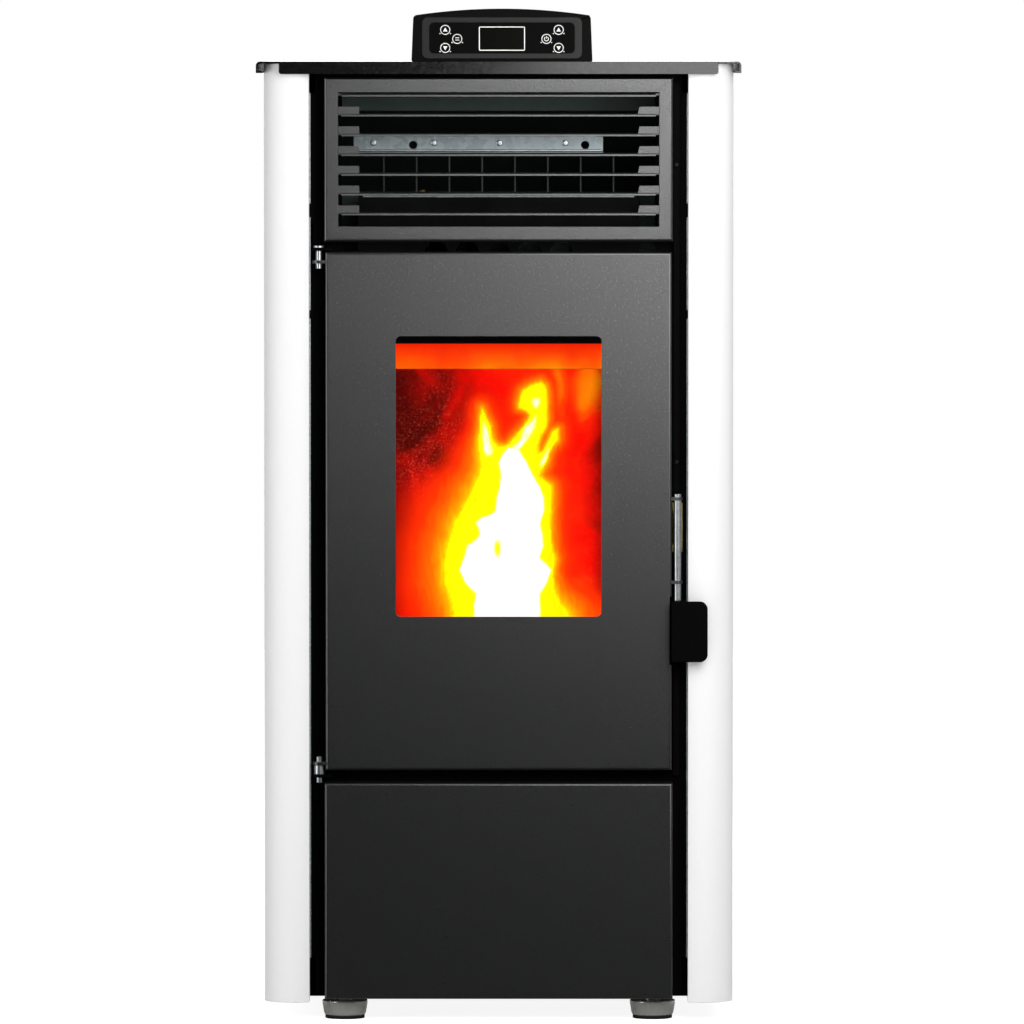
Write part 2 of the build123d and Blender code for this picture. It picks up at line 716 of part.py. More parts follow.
with BuildPart() as latch_rod:
    bar((latch_x, latch_y, rod_bottom), (0, 0, 1), latch_rod_radius, rod_top - rod_bottom)
    hook_z = (hook_bottom, hook_top)
    block((latch_x + arm_left, latch_x + arm_right), (latch_y, latch_y + finger_back), hook_z)
    finger_y = (latch_y + finger_front, latch_y + finger_back)
    block((latch_x + finger_tip, latch_x + arm_right), finger_y, hook_z)
latch_rod.part.label = "latch_rod"
export_step(latch_rod.part, "parts/latch_rod.step")

with BuildPart() as door_handle:
    with BuildSketch(Plane.XZ.offset(depth_reach)):
        with Locations((door_half - handle_lap + handle_width / 2, (rod_bottom + handle_top) / 2)):
            tab = Rectangle(handle_width, handle_height)
        fillet(tab.vertices().group_by(Axis.X)[-1], radius=handle_corner)
    extrude(amount=-handle_thickness)
    fillet(edges().group_by(Axis.Y)[0], radius=handle_edge)
    handle_z = (rod_bottom, handle_top)
    stem_x = (latch_x - handle_stem / 2, latch_x + handle_stem / 2)
    block(stem_x, (handle_thickness - depth_reach, latch_y), handle_z)
    bar((latch_x, latch_y, rod_bottom), (0, 0, 1), latch_rod_radius + rod_wall, handle_height)
    bar((latch_x, latch_y, rod_bottom), (0, 0, 1), latch_rod_radius + press_gap, handle_height, Mode.SUBTRACT)
door_handle.part.label = "door_handle"
export_step(door_handle.part, "parts/door_handle.step")

# Firebox: a welded box with the mouth, a shelf for the burn pot, ledges and its openings
inner_half = firebox_half - plate
shelf_plate = 4.0
overrun = auger_tube_radius + 4.0  # openings on a slant run past the faces they cut by this
igniter_radius = 7.0
igniter_bore = 5.5
igniter_z = 350.0
port_half = 110.0
port_y = (-70.0, -20.0)
ledge_height = 4.0
ledge_lap = 10.0  # ledges behind the baffle's front edge
auger_hole = auger_tube_radius + 0.4
pot_clearance = 1.5
ash_slot_start = pot_half + 16.5
ash_slot_end = drawer_half - 3.0
ash_slot_front = pot_y - 90.0

with BuildPart() as firebox:
    block((-firebox_half, firebox_half), (frame_back, firebox_back), (firebox_bottom, firebox_top))
    inner_z = (firebox_bottom + plate, firebox_top - plate)
    block((-inner_half, inner_half), (frame_back + plate, shelf_back), inner_z, Mode.SUBTRACT)
    front_y = (frame_back, frame_back + plate)
    block((-mouth_half, mouth_half), front_y, (mouth_bottom, mouth_top), Mode.SUBTRACT)
    shelf_z = (shelf_top - shelf_plate, shelf_top)
    block((-inner_half, inner_half), (frame_back + 3 * plate, shelf_back), shelf_z)
    hole = pot_half + pot_clearance
    block((-hole, hole), (pot_y - hole, pot_y + hole), shelf_z, Mode.SUBTRACT)
    for side in (-1, 1):
        ash_x = sorted((side * ash_slot_start, side * ash_slot_end))
        block(ash_x, (ash_slot_front, pot_y + hole), shelf_z, Mode.SUBTRACT)
        ledge_x = sorted((side * (inner_half - liner), side * inner_half))
        block(ledge_x, (baffle_front + ledge_lap, liner_front), (baffle_bottom - ledge_height, baffle_bottom))
    block((-port_half, port_half), port_y, (firebox_top - plate, firebox_top), Mode.SUBTRACT)
    bar(on_auger(-overrun), auger_down, auger_hole, 3 * overrun, Mode.SUBTRACT)
    bar((0, shelf_back, igniter_z), (0, 1, 0), igniter_radius + press_gap, plate, Mode.SUBTRACT)
    intake_hole = intake_radius - pipe_step + press_gap
    bar((intake_x, shelf_back, intake_z), (0, 1, 0), intake_hole, plate, Mode.SUBTRACT)
firebox.part.label = "firebox"
export_step(firebox.part, "parts/firebox.step")

# Liners of the firebox's back and sides
liner_top = baffle_bottom - ledge_height

with BuildPart() as firebox_liners:
    back_x = (-inner_half + liner_gap, inner_half - liner_gap)
    block(back_x, (liner_front, liner_front + liner), (shelf_top, liner_top))
    for side in (-1, 1):
        side_x = sorted((side * (inner_half - liner_gap - liner), side * (inner_half - liner_gap)))
        block(side_x, (frame_back + plate + liner_gap, liner_front - liner_gap), (shelf_top, liner_top))
    bar(on_auger(-overrun), auger_down, auger_hole, 3 * overrun, Mode.SUBTRACT)
    bar((0, liner_front, igniter_z), (0, 1, 0), igniter_radius + press_gap, liner, Mode.SUBTRACT)
firebox_liners.part.label = "firebox_liners"
export_step(firebox_liners.part, "parts/firebox_liners.step")

with BuildPart() as baffle_plate:
    baffle_x = (-inner_half + liner_relief, inner_half - liner_relief)
    baffle_y = (baffle_front, shelf_back - liner_relief)
    block(baffle_x, baffle_y, (baffle_bottom, baffle_bottom + baffle_thickness))
    fillet(edges().filter_by(Axis.X).group_by(Axis.Y)[0], radius=bend)
baffle_plate.part.label = "baffle_plate"
export_step(baffle_plate.part, "parts/baffle_plate.step")

# Burn pot: a cast cup with a rim flange on the shelf and air holes in its floor
pot_floor = shelf_top - 8.0
pot_hole = 2.5  # radius
pot_hole_pitch = 13.0
pot_hole_rows = 5
pot_corner = 8.0

with BuildPart() as burn_pot:
    flange_half = pot_half + pot_flange
    flange_z = (shelf_top + rest_gap, shelf_top + rest_gap + pot_wall)
    block((-pot_half, pot_half), (pot_y - pot_half, pot_y + pot_half), (pot_floor, pot_rim))
    fillet(edges().filter_by(Axis.Z), radius=pot_corner)
    block((-flange_half, flange_half), (pot_y - flange_half, pot_y + flange_half), flange_z)
    cup = pot_half - pot_wall
    block((-cup, cup), (pot_y - cup, pot_y + cup), (pot_floor + pot_wall, pot_rim), Mode.SUBTRACT)
    with BuildSketch(Plane.XY.offset(pot_floor)):
        with Locations((0, pot_y)):
            with GridLocations(pot_hole_pitch, pot_hole_pitch, pot_hole_rows, pot_hole_rows):
                Circle(pot_hole)
    extrude(amount=pot_wall, mode=Mode.SUBTRACT)
    bar((0, pot_y + cup, igniter_z), (0, 1, 0), igniter_bore, pot_wall, Mode.SUBTRACT)
burn_pot.part.label = "burn_pot"
export_step(burn_pot.part, "parts/burn_pot.step")

# Ash drawer with a folded grip
drawer_bottom = firebox_bottom + plate + rest_gap
grip_reach = 4.0

with BuildPart() as ash_drawer:
    drawer_z = (drawer_bottom, drawer_bottom + drawer_height)
    block((-drawer_half, drawer_half), (drawer_front, drawer_back), drawer_z)
    drawer_inner = drawer_half - thin_sheet
    drawer_y = (drawer_front + thin_sheet, drawer_back - thin_sheet)
    block((-drawer_inner, drawer_inner), drawer_y, (drawer_bottom + thin_sheet, drawer_z[1]), Mode.SUBTRACT)
    grip_y = (drawer_front - grip_reach, drawer_front)
    block((-grip_half, grip_half), grip_y, (drawer_z[1] - sheet, drawer_z[1]))
ash_drawer.part.label = "ash_drawer"
export_step(ash_drawer.part, "parts/ash_drawer.step")

# Igniter: a heating cartridge in its tube, through the back of the firebox
igniter_stand = 1.0  # tip ahead of the back liner, clear of the pot's rim flange
igniter_tip = liner_front - igniter_stand
igniter_tail = firebox_back + 45.0
igniter_recess = 12.0
igniter_flange = 12.0  # radius
flange_thickness = 3.0
lead_radius = 4.0
lead_length = 10.0

with BuildPart() as igniter:
    bar((0, igniter_tip, igniter_z), (0, 1, 0), igniter_radius, igniter_tail - igniter_tip)
    bar((0, igniter_tip, igniter_z), (0, 1, 0), igniter_bore, igniter_recess, Mode.SUBTRACT)
    bar((0, firebox_back, igniter_z), (0, 1, 0), igniter_flange, flange_thickness)
    bar((0, igniter_tail, igniter_z), (0, 1, 0), lead_radius, lead_length)
igniter.part.label = "igniter"
export_step(igniter.part, "parts/igniter.step")

# Heat exchanger: a box on the firebox that the smoke crosses, with air tubes from back to front
tube_z = firebox_top + 32.0
tube_places = [((tube - (tube_count - 1) / 2) * tube_pitch, tube_z) for tube in range(tube_count)]
smoke_x = (-firebox_half + 3.0, -firebox_half + 3.0 + duct_width)
smoke_port = (exchanger_top - 70.0, exchanger_top - 10.0)

with BuildPart() as heat_exchanger:
    block((-firebox_half, firebox_half), (exchanger_front, firebox_back), (firebox_top, exchanger_top))
    box_y = (exchanger_front + sheet, firebox_back - sheet)
    block((-firebox_half + sheet, firebox_half - sheet), box_y, (firebox_top + sheet, exchanger_top - sheet),
          Mode.SUBTRACT)
    block((-port_half, port_half), port_y, (firebox_top, firebox_top + sheet), Mode.SUBTRACT)
    port_x = (smoke_x[0] + 2 * sheet, smoke_x[1] - 2 * sheet)
    block(port_x, (firebox_back - sheet, firebox_back), smoke_port, Mode.SUBTRACT)
    for radius, mode in ((tube_radius, Mode.ADD), (tube_radius - sheet, Mode.SUBTRACT)):
        for x, z in tube_places:
            bar((x, exchanger_front, z), (0, 1, 0), radius, firebox_back - exchanger_front, mode)
heat_exchanger.part.label = "heat_exchanger"
export_step(heat_exchanger.part, "parts/heat_exchanger.step")

# Air outlet guard behind the grille: a galvanised bracket on upright wires over a foot plate
guard_wires = 8
wire_pitch = 31.5
wire_radius = 1.0
wire_y = exchanger_front + 5.0
guard_foot = 130.0  # half length of the foot plate
guard_foot_depth = 10.0
bracket_x = (-139.0, 100.0)
bracket_z = (bracket_middle - 8.0, bracket_middle + 8.0)
bracket_fold = bracket_z[0] - thin_sheet
bracket_hole = 4.0  # radius
bracket_holes = (-82.0, 83.0)
wire_bar = 2.0  # depth of the bar under the bracket that ties the wires

with BuildPart() as air_outlet_guard:
    foot_y = (exchanger_front, exchanger_front + guard_foot_depth)
    block((-guard_foot, guard_foot), foot_y, (exchanger_top, exchanger_top + sheet))
    bracket_y = (bracket_front, bracket_front + thin_sheet)
    block(bracket_x, bracket_y, bracket_z)
    block(bracket_x, (bracket_front, wire_y + bend), (bracket_fold, bracket_z[0]))
    for x in bracket_holes:
        bar((x, bracket_front, bracket_middle - wire_bar), (0, 1, 0), bracket_hole, thin_sheet, Mode.SUBTRACT)
    for wire in range(guard_wires):
        x = (wire - (guard_wires - 1) / 2) * wire_pitch
        bar((x, wire_y, exchanger_top), (0, 0, 1), wire_radius, bracket_fold - thin_sheet - exchanger_top)
    bar_y = (wire_y - wire_bar / 2, wire_y + wire_bar / 2)
    block((bracket_x[0], -bracket_x[0]), bar_y, (bracket_fold - thin_sheet, bracket_fold))
air_outlet_guard.part.label = "air_outlet_guard"
export_step(air_outlet_guard.part, "parts/air_outlet_guard.step")

# Hopper: folded sheet that narrows to the auger's throat, with the seat of the lid
hopper_shoulder = underside - 46.0
hopper_slope = exchanger_top + 2.0
hopper_taper = 700.0  # where the sides start to close in
hopper_neck = throat_top + 56.0
hopper_rear = throat_top + 86.0
lid_seat = 8.0

with BuildPart() as hopper:
    with BuildSketch(Plane.YZ.offset(-hopper_half)):
        with BuildLine():
            Polyline((hopper_front, underside), (hopper_front, hopper_shoulder), (hopper_step, hopper_slope),
                     (hopper_step, hopper_neck), (throat_front, throat_top), (throat_back, throat_top),
                     (hopper_back, hopper_rear), (hopper_back, underside), close=True)
        make_face()
    extrude(amount=2 * hopper_half)
    with BuildSketch(Plane.XZ.offset(-hopper_back)):
        with BuildLine():
            Polyline((-hopper_half, underside), (-hopper_half, hopper_taper),
                     (-throat_half, throat_top), (throat_half, throat_top),
                     (hopper_half, hopper_taper), (hopper_half, underside), close=True)
        make_face()
    extrude(amount=hopper_back - hopper_front, mode=Mode.INTERSECT)
    ends = [faces().sort_by(Axis.Z)[0], faces().sort_by(Axis.Z)[-1]]
    offset(amount=-thin_sheet, openings=ends, kind=Kind.INTERSECTION)
    seat_z = (underside - rest_gap - thin_sheet, underside - rest_gap)
    wall = thin_sheet / 2
    block((wall - hopper_half, hopper_half - wall), (hopper_front + wall, hopper_back - wall), seat_z)
    seat_half = lid_half - lid_seat
    block((-seat_half, seat_half), (lid_front + lid_seat, lid_back - lid_seat), seat_z, Mode.SUBTRACT)
hopper.part.label = "hopper"
export_step(hopper.part, "parts/hopper.step")

# Hopper guard: a grid of round bars between the hopper's walls
guard_radius = 2.5
guard_z = underside - 30.0
guard_pitch = 25.0
guard_bars = 7

with BuildPart() as hopper_guard:
    guard_reach = hopper_half - thin_sheet
    guard_middle = (lid_front + lid_back) / 2
    for number in range(guard_bars):
        y = guard_middle + (number - (guard_bars - 1) / 2) * guard_pitch
        bar((-guard_reach, y, guard_z), (1, 0, 0), guard_radius, 2 * guard_reach)
    guard_span = (guard_bars - 1) * guard_pitch
    for x in (-guard_reach / 3, guard_reach / 3):
        bar((x, guard_middle - guard_span / 2, guard_z), (0, 1, 0), guard_radius, guard_span)
hopper_guard.part.label = "hopper_guard"
export_step(hopper_guard.part, "parts/hopper_guard.step")

# Auger tube with the throat under the hopper, cut off flush with the liner
with BuildPart() as auger_tube:
    bar(on_auger(-overrun), auger_down, auger_tube_radius, auger_length + overrun)
    throat_axis = auger_outlet_z + liner_front - (throat_front + throat_back) / 2
    block((-throat_half, throat_half), (throat_front, throat_back), (throat_axis, throat_top))
    auger_bore = auger_tube_radius - auger_wall
    bar(on_auger(-overrun), auger_down, auger_bore, auger_length + overrun, Mode.SUBTRACT)
    throat_x = (thin_sheet - throat_half, throat_half - thin_sheet)
    throat_y = (throat_front + thin_sheet, throat_back - thin_sheet)
    block(throat_x, throat_y, (throat_axis, throat_top), Mode.SUBTRACT)
    cut_z = (auger_outlet_z - overrun, auger_outlet_z + 3 * overrun)
    block((-overrun, overrun), (liner_front - 2 * overrun, liner_front), cut_z, Mode.SUBTRACT)
auger_tube.part.label = "auger_tube"
export_step(auger_tube.part, "parts/auger_tube.step")

# Auger screw: a flight round its shaft, with the spindle that enters the gearmotor
spindle_length = 20.0
screw_end_gap = 3.0
screw_bottom = auger_length - screw_end_gap
screw_length = screw_bottom - overrun
flight_radius = auger_bore - screw_clearance
flight_root = 1.0  # flight's foot inside the shaft
flight_inner = auger_shaft_radius - flight_root

with BuildPart() as screw_stock:
    with BuildLine():
        flight_path = Helix(screw_pitch, screw_length - flight_thickness, (flight_radius + flight_inner) / 2,
                            center=(0, 0, flight_thickness))
    with BuildSketch(Plane(origin=flight_path @ 0, x_dir=(1, 0, 0), z_dir=flight_path % 0)):
        Rectangle(flight_radius - flight_inner, flight_thickness)
    sweep(path=flight_path, is_frenet=True)
    bar((0, 0, 0), (0, 0, 1), auger_shaft_radius, screw_length + flight_thickness)
    bar((0, 0, 0), (0, 0, -1), spindle_radius, spindle_length)

screw_plane = Plane(origin=on_auger(screw_bottom), x_dir=(1, 0, 0), z_dir=auger_up)

with BuildPart() as auger_screw:
    add(screw_stock.part.moved(screw_plane.location))
auger_screw.part.label = "auger_screw"
export_step(auger_screw.part, "parts/auger_screw.step")

# Gearmotor on the lower end of the auger tube
gearbox_side = 64.0
gearbox_depth = 30.0
gearbox_corner = 6.0
can_radius = 24.0
can_length = 34.0

with BuildPart() as gearmotor:
    with Locations(Plane(origin=on_auger(auger_length), x_dir=(1, 0, 0), z_dir=auger_down)):
        Box(gearbox_side, gearbox_side, gearbox_depth, align=(Align.CENTER, Align.CENTER, Align.MIN))
    fillet(edges().filter_by(lambda edge: abs(edge.length - gearbox_depth) < 0.01), radius=gearbox_corner)
    bar(on_auger(auger_length + gearbox_depth), auger_down, can_radius, can_length)
    bar(on_auger(auger_length), auger_down, spindle_radius + running_gap, spindle_length, Mode.SUBTRACT)
gearmotor.part.label = "gearmotor"
export_step(gearmotor.part, "parts/gearmotor.step")

# Smoke duct: from the exchanger down the back of the firebox to the exhaust fan's inlet
exhaust_y = 115.0
exhaust_z = spigot_z - fan_radius / 2
duct_top = exchanger_top - 5.0
duct_back = firebox_back + duct_depth
smoke_box = (exhaust_z - 75.0, exhaust_z + 85.0)
smoke_reach = exhaust_y + 55.0
fan_eye = wheel_radius - 14.0

with BuildPart() as smoke_duct:
    with BuildSketch(Plane.YZ.offset(smoke_x[0])):
        with BuildLine():
            Polyline((firebox_back, smoke_box[0]), (smoke_reach, smoke_box[0]), (smoke_reach, smoke_box[1]),
                     (duct_back, smoke_box[1]), (duct_back, duct_top), (firebox_back, duct_top), close=True)
        make_face()
    extrude(amount=duct_width)
    offset(amount=-thin_sheet, kind=Kind.INTERSECTION, mode=Mode.SUBTRACT)
    block(port_x, (firebox_back, firebox_back + thin_sheet), smoke_port, Mode.SUBTRACT)
    eye = (smoke_x[1] - thin_sheet, exhaust_y, exhaust_z)
    bar(eye, (1, 0, 0), fan_eye, thin_sheet, Mode.SUBTRACT)
smoke_duct.part.label = "smoke_duct"
export_step(smoke_duct.part, "parts/smoke_duct.step")

# Exhaust fan: a scroll housing whose outlet turns into the round spigot, its wheel and its motor
spigot_start = panel_rear - 6.5
scroll_x = (smoke_x[1], 2 * spigot_x - smoke_x[1])
scroll_outer = fan_radius + fan_wall
outlet_flange = spigot_radius + 10.0
fan_shaft_radius = 4.0
shaft_hole = 5.0  # radius, in the housings' sides
wheel_gap = 6.0
hub_radius = 9.0
hub_length = 12.0
motor_length = 48.0
motor_cap = 6.0
shaft_reach = 14.0  # into the motor

with BuildPart() as exhaust_fan_housing:
    wide = scroll_x[1] - scroll_x[0]
    bar((scroll_x[0], exhaust_y, exhaust_z), (1, 0, 0), scroll_outer, wide)
    block(scroll_x, (exhaust_y, spigot_start - sheet), (exhaust_z - fan_wall, exhaust_z + scroll_outer))
    bar((spigot_x, spigot_start - sheet, spigot_z), (0, 1, 0), outlet_flange, sheet)
    cavity_x = (scroll_x[0] + fan_wall, scroll_x[1] - fan_wall)
    bar((cavity_x[0], exhaust_y, exhaust_z), (1, 0, 0), fan_radius, wide - 2 * fan_wall, Mode.SUBTRACT)
    block(cavity_x, (exhaust_y, spigot_start), (exhaust_z, exhaust_z + fan_radius), Mode.SUBTRACT)
    bar((scroll_x[0], exhaust_y, exhaust_z), (1, 0, 0), fan_eye, fan_wall, Mode.SUBTRACT)
    bar((cavity_x[1], exhaust_y, exhaust_z), (1, 0, 0), shaft_hole, fan_wall, Mode.SUBTRACT)
exhaust_fan_housing.part.label = "exhaust_fan_housing"
export_step(exhaust_fan_housing.part, "parts/exhaust_fan_housing.step")


def fan_wheel(housing_x, y, z):
    """A bladed wheel inside a housing, with its shaft reaching into a motor on the housing's right."""
    disc_x = housing_x[1] - fan_wall - wheel_gap - sheet
    blade_width = disc_x - housing_x[0] - fan_wall - wheel_gap
    blade_depth = wheel_radius - fan_eye
    bar((disc_x, y, z), (1, 0, 0), wheel_radius, sheet)
    bar((disc_x - hub_length, y, z), (1, 0, 0), hub_radius, hub_length)
    bar((disc_x, y, z), (1, 0, 0), fan_shaft_radius, housing_x[1] + shaft_reach - disc_x)
    with Locations(Plane(origin=(disc_x, y, z), x_dir=(0, 1, 0), z_dir=(-1, 0, 0))):
        with PolarLocations(wheel_radius - blade_depth / 2, blade_count):
            Box(blade_depth, thin_sheet, blade_width, align=(Align.CENTER, Align.CENTER, Align.MIN))


def fan_motor(side_x, y, z):
    """A motor on the right side of a fan housing, bored for the wheel's shaft."""
    bar((side_x, y, z), (1, 0, 0), motor_radius, motor_length)
    bar((side_x + motor_length, y, z), (1, 0, 0), motor_radius / 3, motor_cap)
    bar((side_x, y, z), (1, 0, 0), fan_shaft_radius + running_gap, shaft_reach, Mode.SUBTRACT)


with BuildPart() as exhaust_fan_wheel:
    fan_wheel(scroll_x, exhaust_y, exhaust_z)
exhaust_fan_wheel.part.label = "exhaust_fan_wheel"
export_step(exhaust_fan_wheel.part, "parts/exhaust_fan_wheel.step")

with BuildPart() as exhaust_fan_motor:
    fan_motor(scroll_x[1], exhaust_y, exhaust_z)
exhaust_fan_motor.part.label = "exhaust_fan_motor"
export_step(exhaust_fan_motor.part, "parts/exhaust_fan_motor.step")

# Flue spigot and combustion air pipe, which both leave through the back panel
intake_flange = intake_radius + 6.0

with BuildPart() as flue_spigot:
    bar((spigot_x, spigot_start, spigot_z), (0, 1, 0), outlet_flange, sheet)
    spigot_length = depth_reach - spigot_start
    bar((spigot_x, spigot_start, spigot_z), (0, 1, 0), spigot_radius - pipe_step, back_face - spigot_start)
    bar((spigot_x, back_face, spigot_z), (0, 1, 0), spigot_radius, depth_reach - back_face)
    bore = spigot_radius - spigot_wall
    bar((spigot_x, spigot_start, spigot_z), (0, 1, 0), bore, spigot_length, Mode.SUBTRACT)
flue_spigot.part.label = "flue_spigot"
export_step(flue_spigot.part, "parts/flue_spigot.step")

with BuildPart() as air_intake_pipe:
    intake_length = back_face + intake_reach - shelf_back
    bar((intake_x, shelf_back, intake_z), (0, 1, 0), intake_radius - pipe_step, back_face - shelf_back)
    bar((intake_x, back_face, intake_z), (0, 1, 0), intake_radius, intake_reach)
    bar((intake_x, firebox_back, intake_z), (0, 1, 0), intake_flange, sheet)
    intake_bore = intake_radius - spigot_wall
    bar((intake_x, shelf_back, intake_z), (0, 1, 0), intake_bore, intake_length, Mode.SUBTRACT)
air_intake_pipe.part.label = "air_intake_pipe"
export_step(air_intake_pipe.part, "parts/air_intake_pipe.step")

# Room air blower: scroll, riser and plenum in one sheet-metal piece, its wheel and its motor
blower_side = 1.0  # housing's right side inside the firebox's
blower_x = (firebox_half - blower_side - duct_width, firebox_half - blower_side)
blower_y = firebox_back + scroll_outer
blower_z = base_top + 106.0
plenum_z = (tube_z - 25.0, tube_z + 20.0)
duct_gap = 0.5  # between plenum and smoke duct
plenum_left = smoke_x[1] + duct_gap

with BuildPart() as room_blower_housing:
    riser_y = (firebox_back, duct_back)
    bar((blower_x[0], blower_y, blower_z), (1, 0, 0), scroll_outer, duct_width)
    block(blower_x, riser_y, (blower_z, plenum_z[1]))
    block((plenum_left, blower_x[1]), riser_y, plenum_z)
    riser_inner = (blower_x[0] + fan_wall, blower_x[1] - fan_wall)
    riser_depth = (firebox_back + fan_wall, duct_back - fan_wall)
    plenum_inner = (plenum_left + fan_wall, riser_inner[1])
    bar((riser_inner[0], blower_y, blower_z), (1, 0, 0), fan_radius, duct_width - 2 * fan_wall, Mode.SUBTRACT)
    block(riser_inner, riser_depth, (blower_z, plenum_z[1] - fan_wall), Mode.SUBTRACT)
    block(plenum_inner, riser_depth, (plenum_z[0] + fan_wall, plenum_z[1] - fan_wall), Mode.SUBTRACT)
    tubes_x = (plenum_inner[0], -plenum_inner[0])
    tubes_z = (tube_z - tube_radius, tube_z + tube_radius)
    block(tubes_x, (firebox_back, riser_depth[0]), tubes_z, Mode.SUBTRACT)
    bar((blower_x[0], blower_y, blower_z), (1, 0, 0), fan_eye, fan_wall, Mode.SUBTRACT)
    bar((riser_inner[1], blower_y, blower_z), (1, 0, 0), shaft_hole, fan_wall, Mode.SUBTRACT)
room_blower_housing.part.label = "room_blower_housing"
export_step(room_blower_housing.part, "parts/room_blower_housing.step")

with BuildPart() as room_blower_wheel:
    fan_wheel(blower_x, blower_y, blower_z)
room_blower_wheel.part.label = "room_blower_wheel"
export_step(room_blower_wheel.part, "parts/room_blower_wheel.step")

with BuildPart() as room_blower_motor:
    fan_motor(blower_x[1], blower_y, blower_z)
room_blower_motor.part.label = "room_blower_motor"
export_step(room_blower_motor.part, "parts/room_blower_motor.step")

# Control housing: a crowned shell with a leaning front, open underneath
control_wall = 2.5
lean = radians(control_lean)
lean_normal = (0, -cos(lean), sin(lean))
lean_plane = Plane(origin=(control_x, control_front, case_height), x_dir=(1, 0, 0), z_dir=lean_normal)
fascia_plane = lean_plane.shift_origin(lean_plane.from_local_coords((0, fascia_middle, 0)))
fascia_edge = 3.0  # bezel beyond the fascia's body on each side
control_corner = 4.0

with BuildPart() as control_housing:
    with BuildSketch(Plane.XZ.offset(-control_front)):
        with BuildLine():
            left_x = control_x - control_half
            right_x = control_x + control_half
            shoulder_z = case_height + control_height
            crown = ThreePointArc((left_x + control_taper, shoulder_z),
                                  (control_x, shoulder_z + control_crown),
                                  (right_x - control_taper, shoulder_z))
            Polyline(crown @ 1, (right_x, case_height), (left_x, case_height), crown @ 0)
        make_face()
    extrude(amount=-control_depth)
    split(bisect_by=lean_plane, keep=Keep.BOTTOM)
    fillet(edges().filter_by(Axis.Y).group_by(Axis.Z)[-1], radius=control_corner)
    offset(amount=-control_wall, openings=faces().sort_by(Axis.Z)[0], kind=Kind.INTERSECTION)
    with BuildSketch(fascia_plane):
        Rectangle(fascia_width - 2 * fascia_edge, fascia_height - 2 * fascia_edge)
    extrude(amount=-2 * control_wall, mode=Mode.SUBTRACT)
control_housing.part.label = "control_housing"
export_step(control_housing.part, "parts/control_housing.step")

# Control fascia: bezel with a sunk field, blind pockets for the keys and a seat for the display
bezel_height = 2.0
bezel_round = 0.8
fascia_depth = 6.0
field_sink = 0.6
overlay_corner = 3.0
fascia_clearance = 0.2
key_height = 3.0
key_round = 0.3
key_proud = 0.3  # above the sunk field
display_drop = -0.6
display_thickness = 1.5
display_gap = 0.1
sunk_field = bezel_height - field_sink
key_places = {
    "key_left_up": (-54.2, 7.8),
    "key_left_down": (-54.2, -9.6),
    "key_set": (-42.7, -0.9),
    "key_power": (42.5, -0.9),
    "key_right_up": (54.2, 7.8),
    "key_right_down": (54.2, -9.6),
}

with BuildPart() as control_fascia:
    with BuildSketch(fascia_plane):
        RectangleRounded(fascia_width, fascia_height, fascia_corner)
    extrude(amount=bezel_height)
    fillet(faces().sort_by(Axis.Y)[0].edges(), radius=bezel_round)
    with BuildSketch(fascia_plane):
        body_edge = 2 * (fascia_edge + fascia_clearance)
        Rectangle(fascia_width - body_edge, fascia_height - body_edge)
    extrude(amount=-fascia_depth)
    with BuildSketch(fascia_plane.offset(sunk_field)):
        RectangleRounded(overlay_width, overlay_height, overlay_corner)
    extrude(amount=field_sink, mode=Mode.SUBTRACT)
    with BuildSketch(fascia_plane.offset(sunk_field)):
        with Locations((0, display_drop)):
            Rectangle(display_width + 2 * display_gap, display_height + 2 * display_gap)
    extrude(amount=-display_thickness, mode=Mode.SUBTRACT)
    with BuildSketch(fascia_plane.offset(sunk_field)):
        with Locations(*key_places.values()):
            Circle(key_radius + key_gap)
    extrude(amount=key_proud - key_height - key_travel - rest_gap, mode=Mode.SUBTRACT)
control_fascia.part.label = "control_fascia"
export_step(control_fascia.part, "parts/control_fascia.step")

with BuildPart() as display_window:
    with BuildSketch(fascia_plane.offset(sunk_field)):
        with Locations((0, display_drop)):
            Rectangle(display_width, display_height)
    extrude(amount=-display_thickness)
display_window.part.label = "display_window"
export_step(display_window.part, "parts/display_window.step")

for key_name, place in key_places.items():
    with BuildPart() as key:
        with BuildSketch(fascia_plane.offset(sunk_field + key_proud)):
            with Locations(place):
                Circle(key_radius)
        extrude(amount=-key_height)
        fillet(faces().sort_by(Axis.Y)[0].edges(), radius=key_round)
    key.part.label = key_name
    export_step(key.part, f"parts/{key_name}.step")

# Control board on posts in front of the back panel
board_x = (60.0, 190.0)
board_z = (345.0, 455.0)
board_thickness = 1.6
board_post = 17.0
post_radius = 3.0
board_edge = 12.0  # parts inside the board's edges
post_inset = 7.0
transformer = (40.0, 30.0, 35.0)
relay = (12.0, 16.0, 28.0)
relay_pitch = 16.0
relay_count = 4
capacitor_radius = 9.0
capacitor_length = 26.0
terminal = (63.0, 11.0, 10.0)

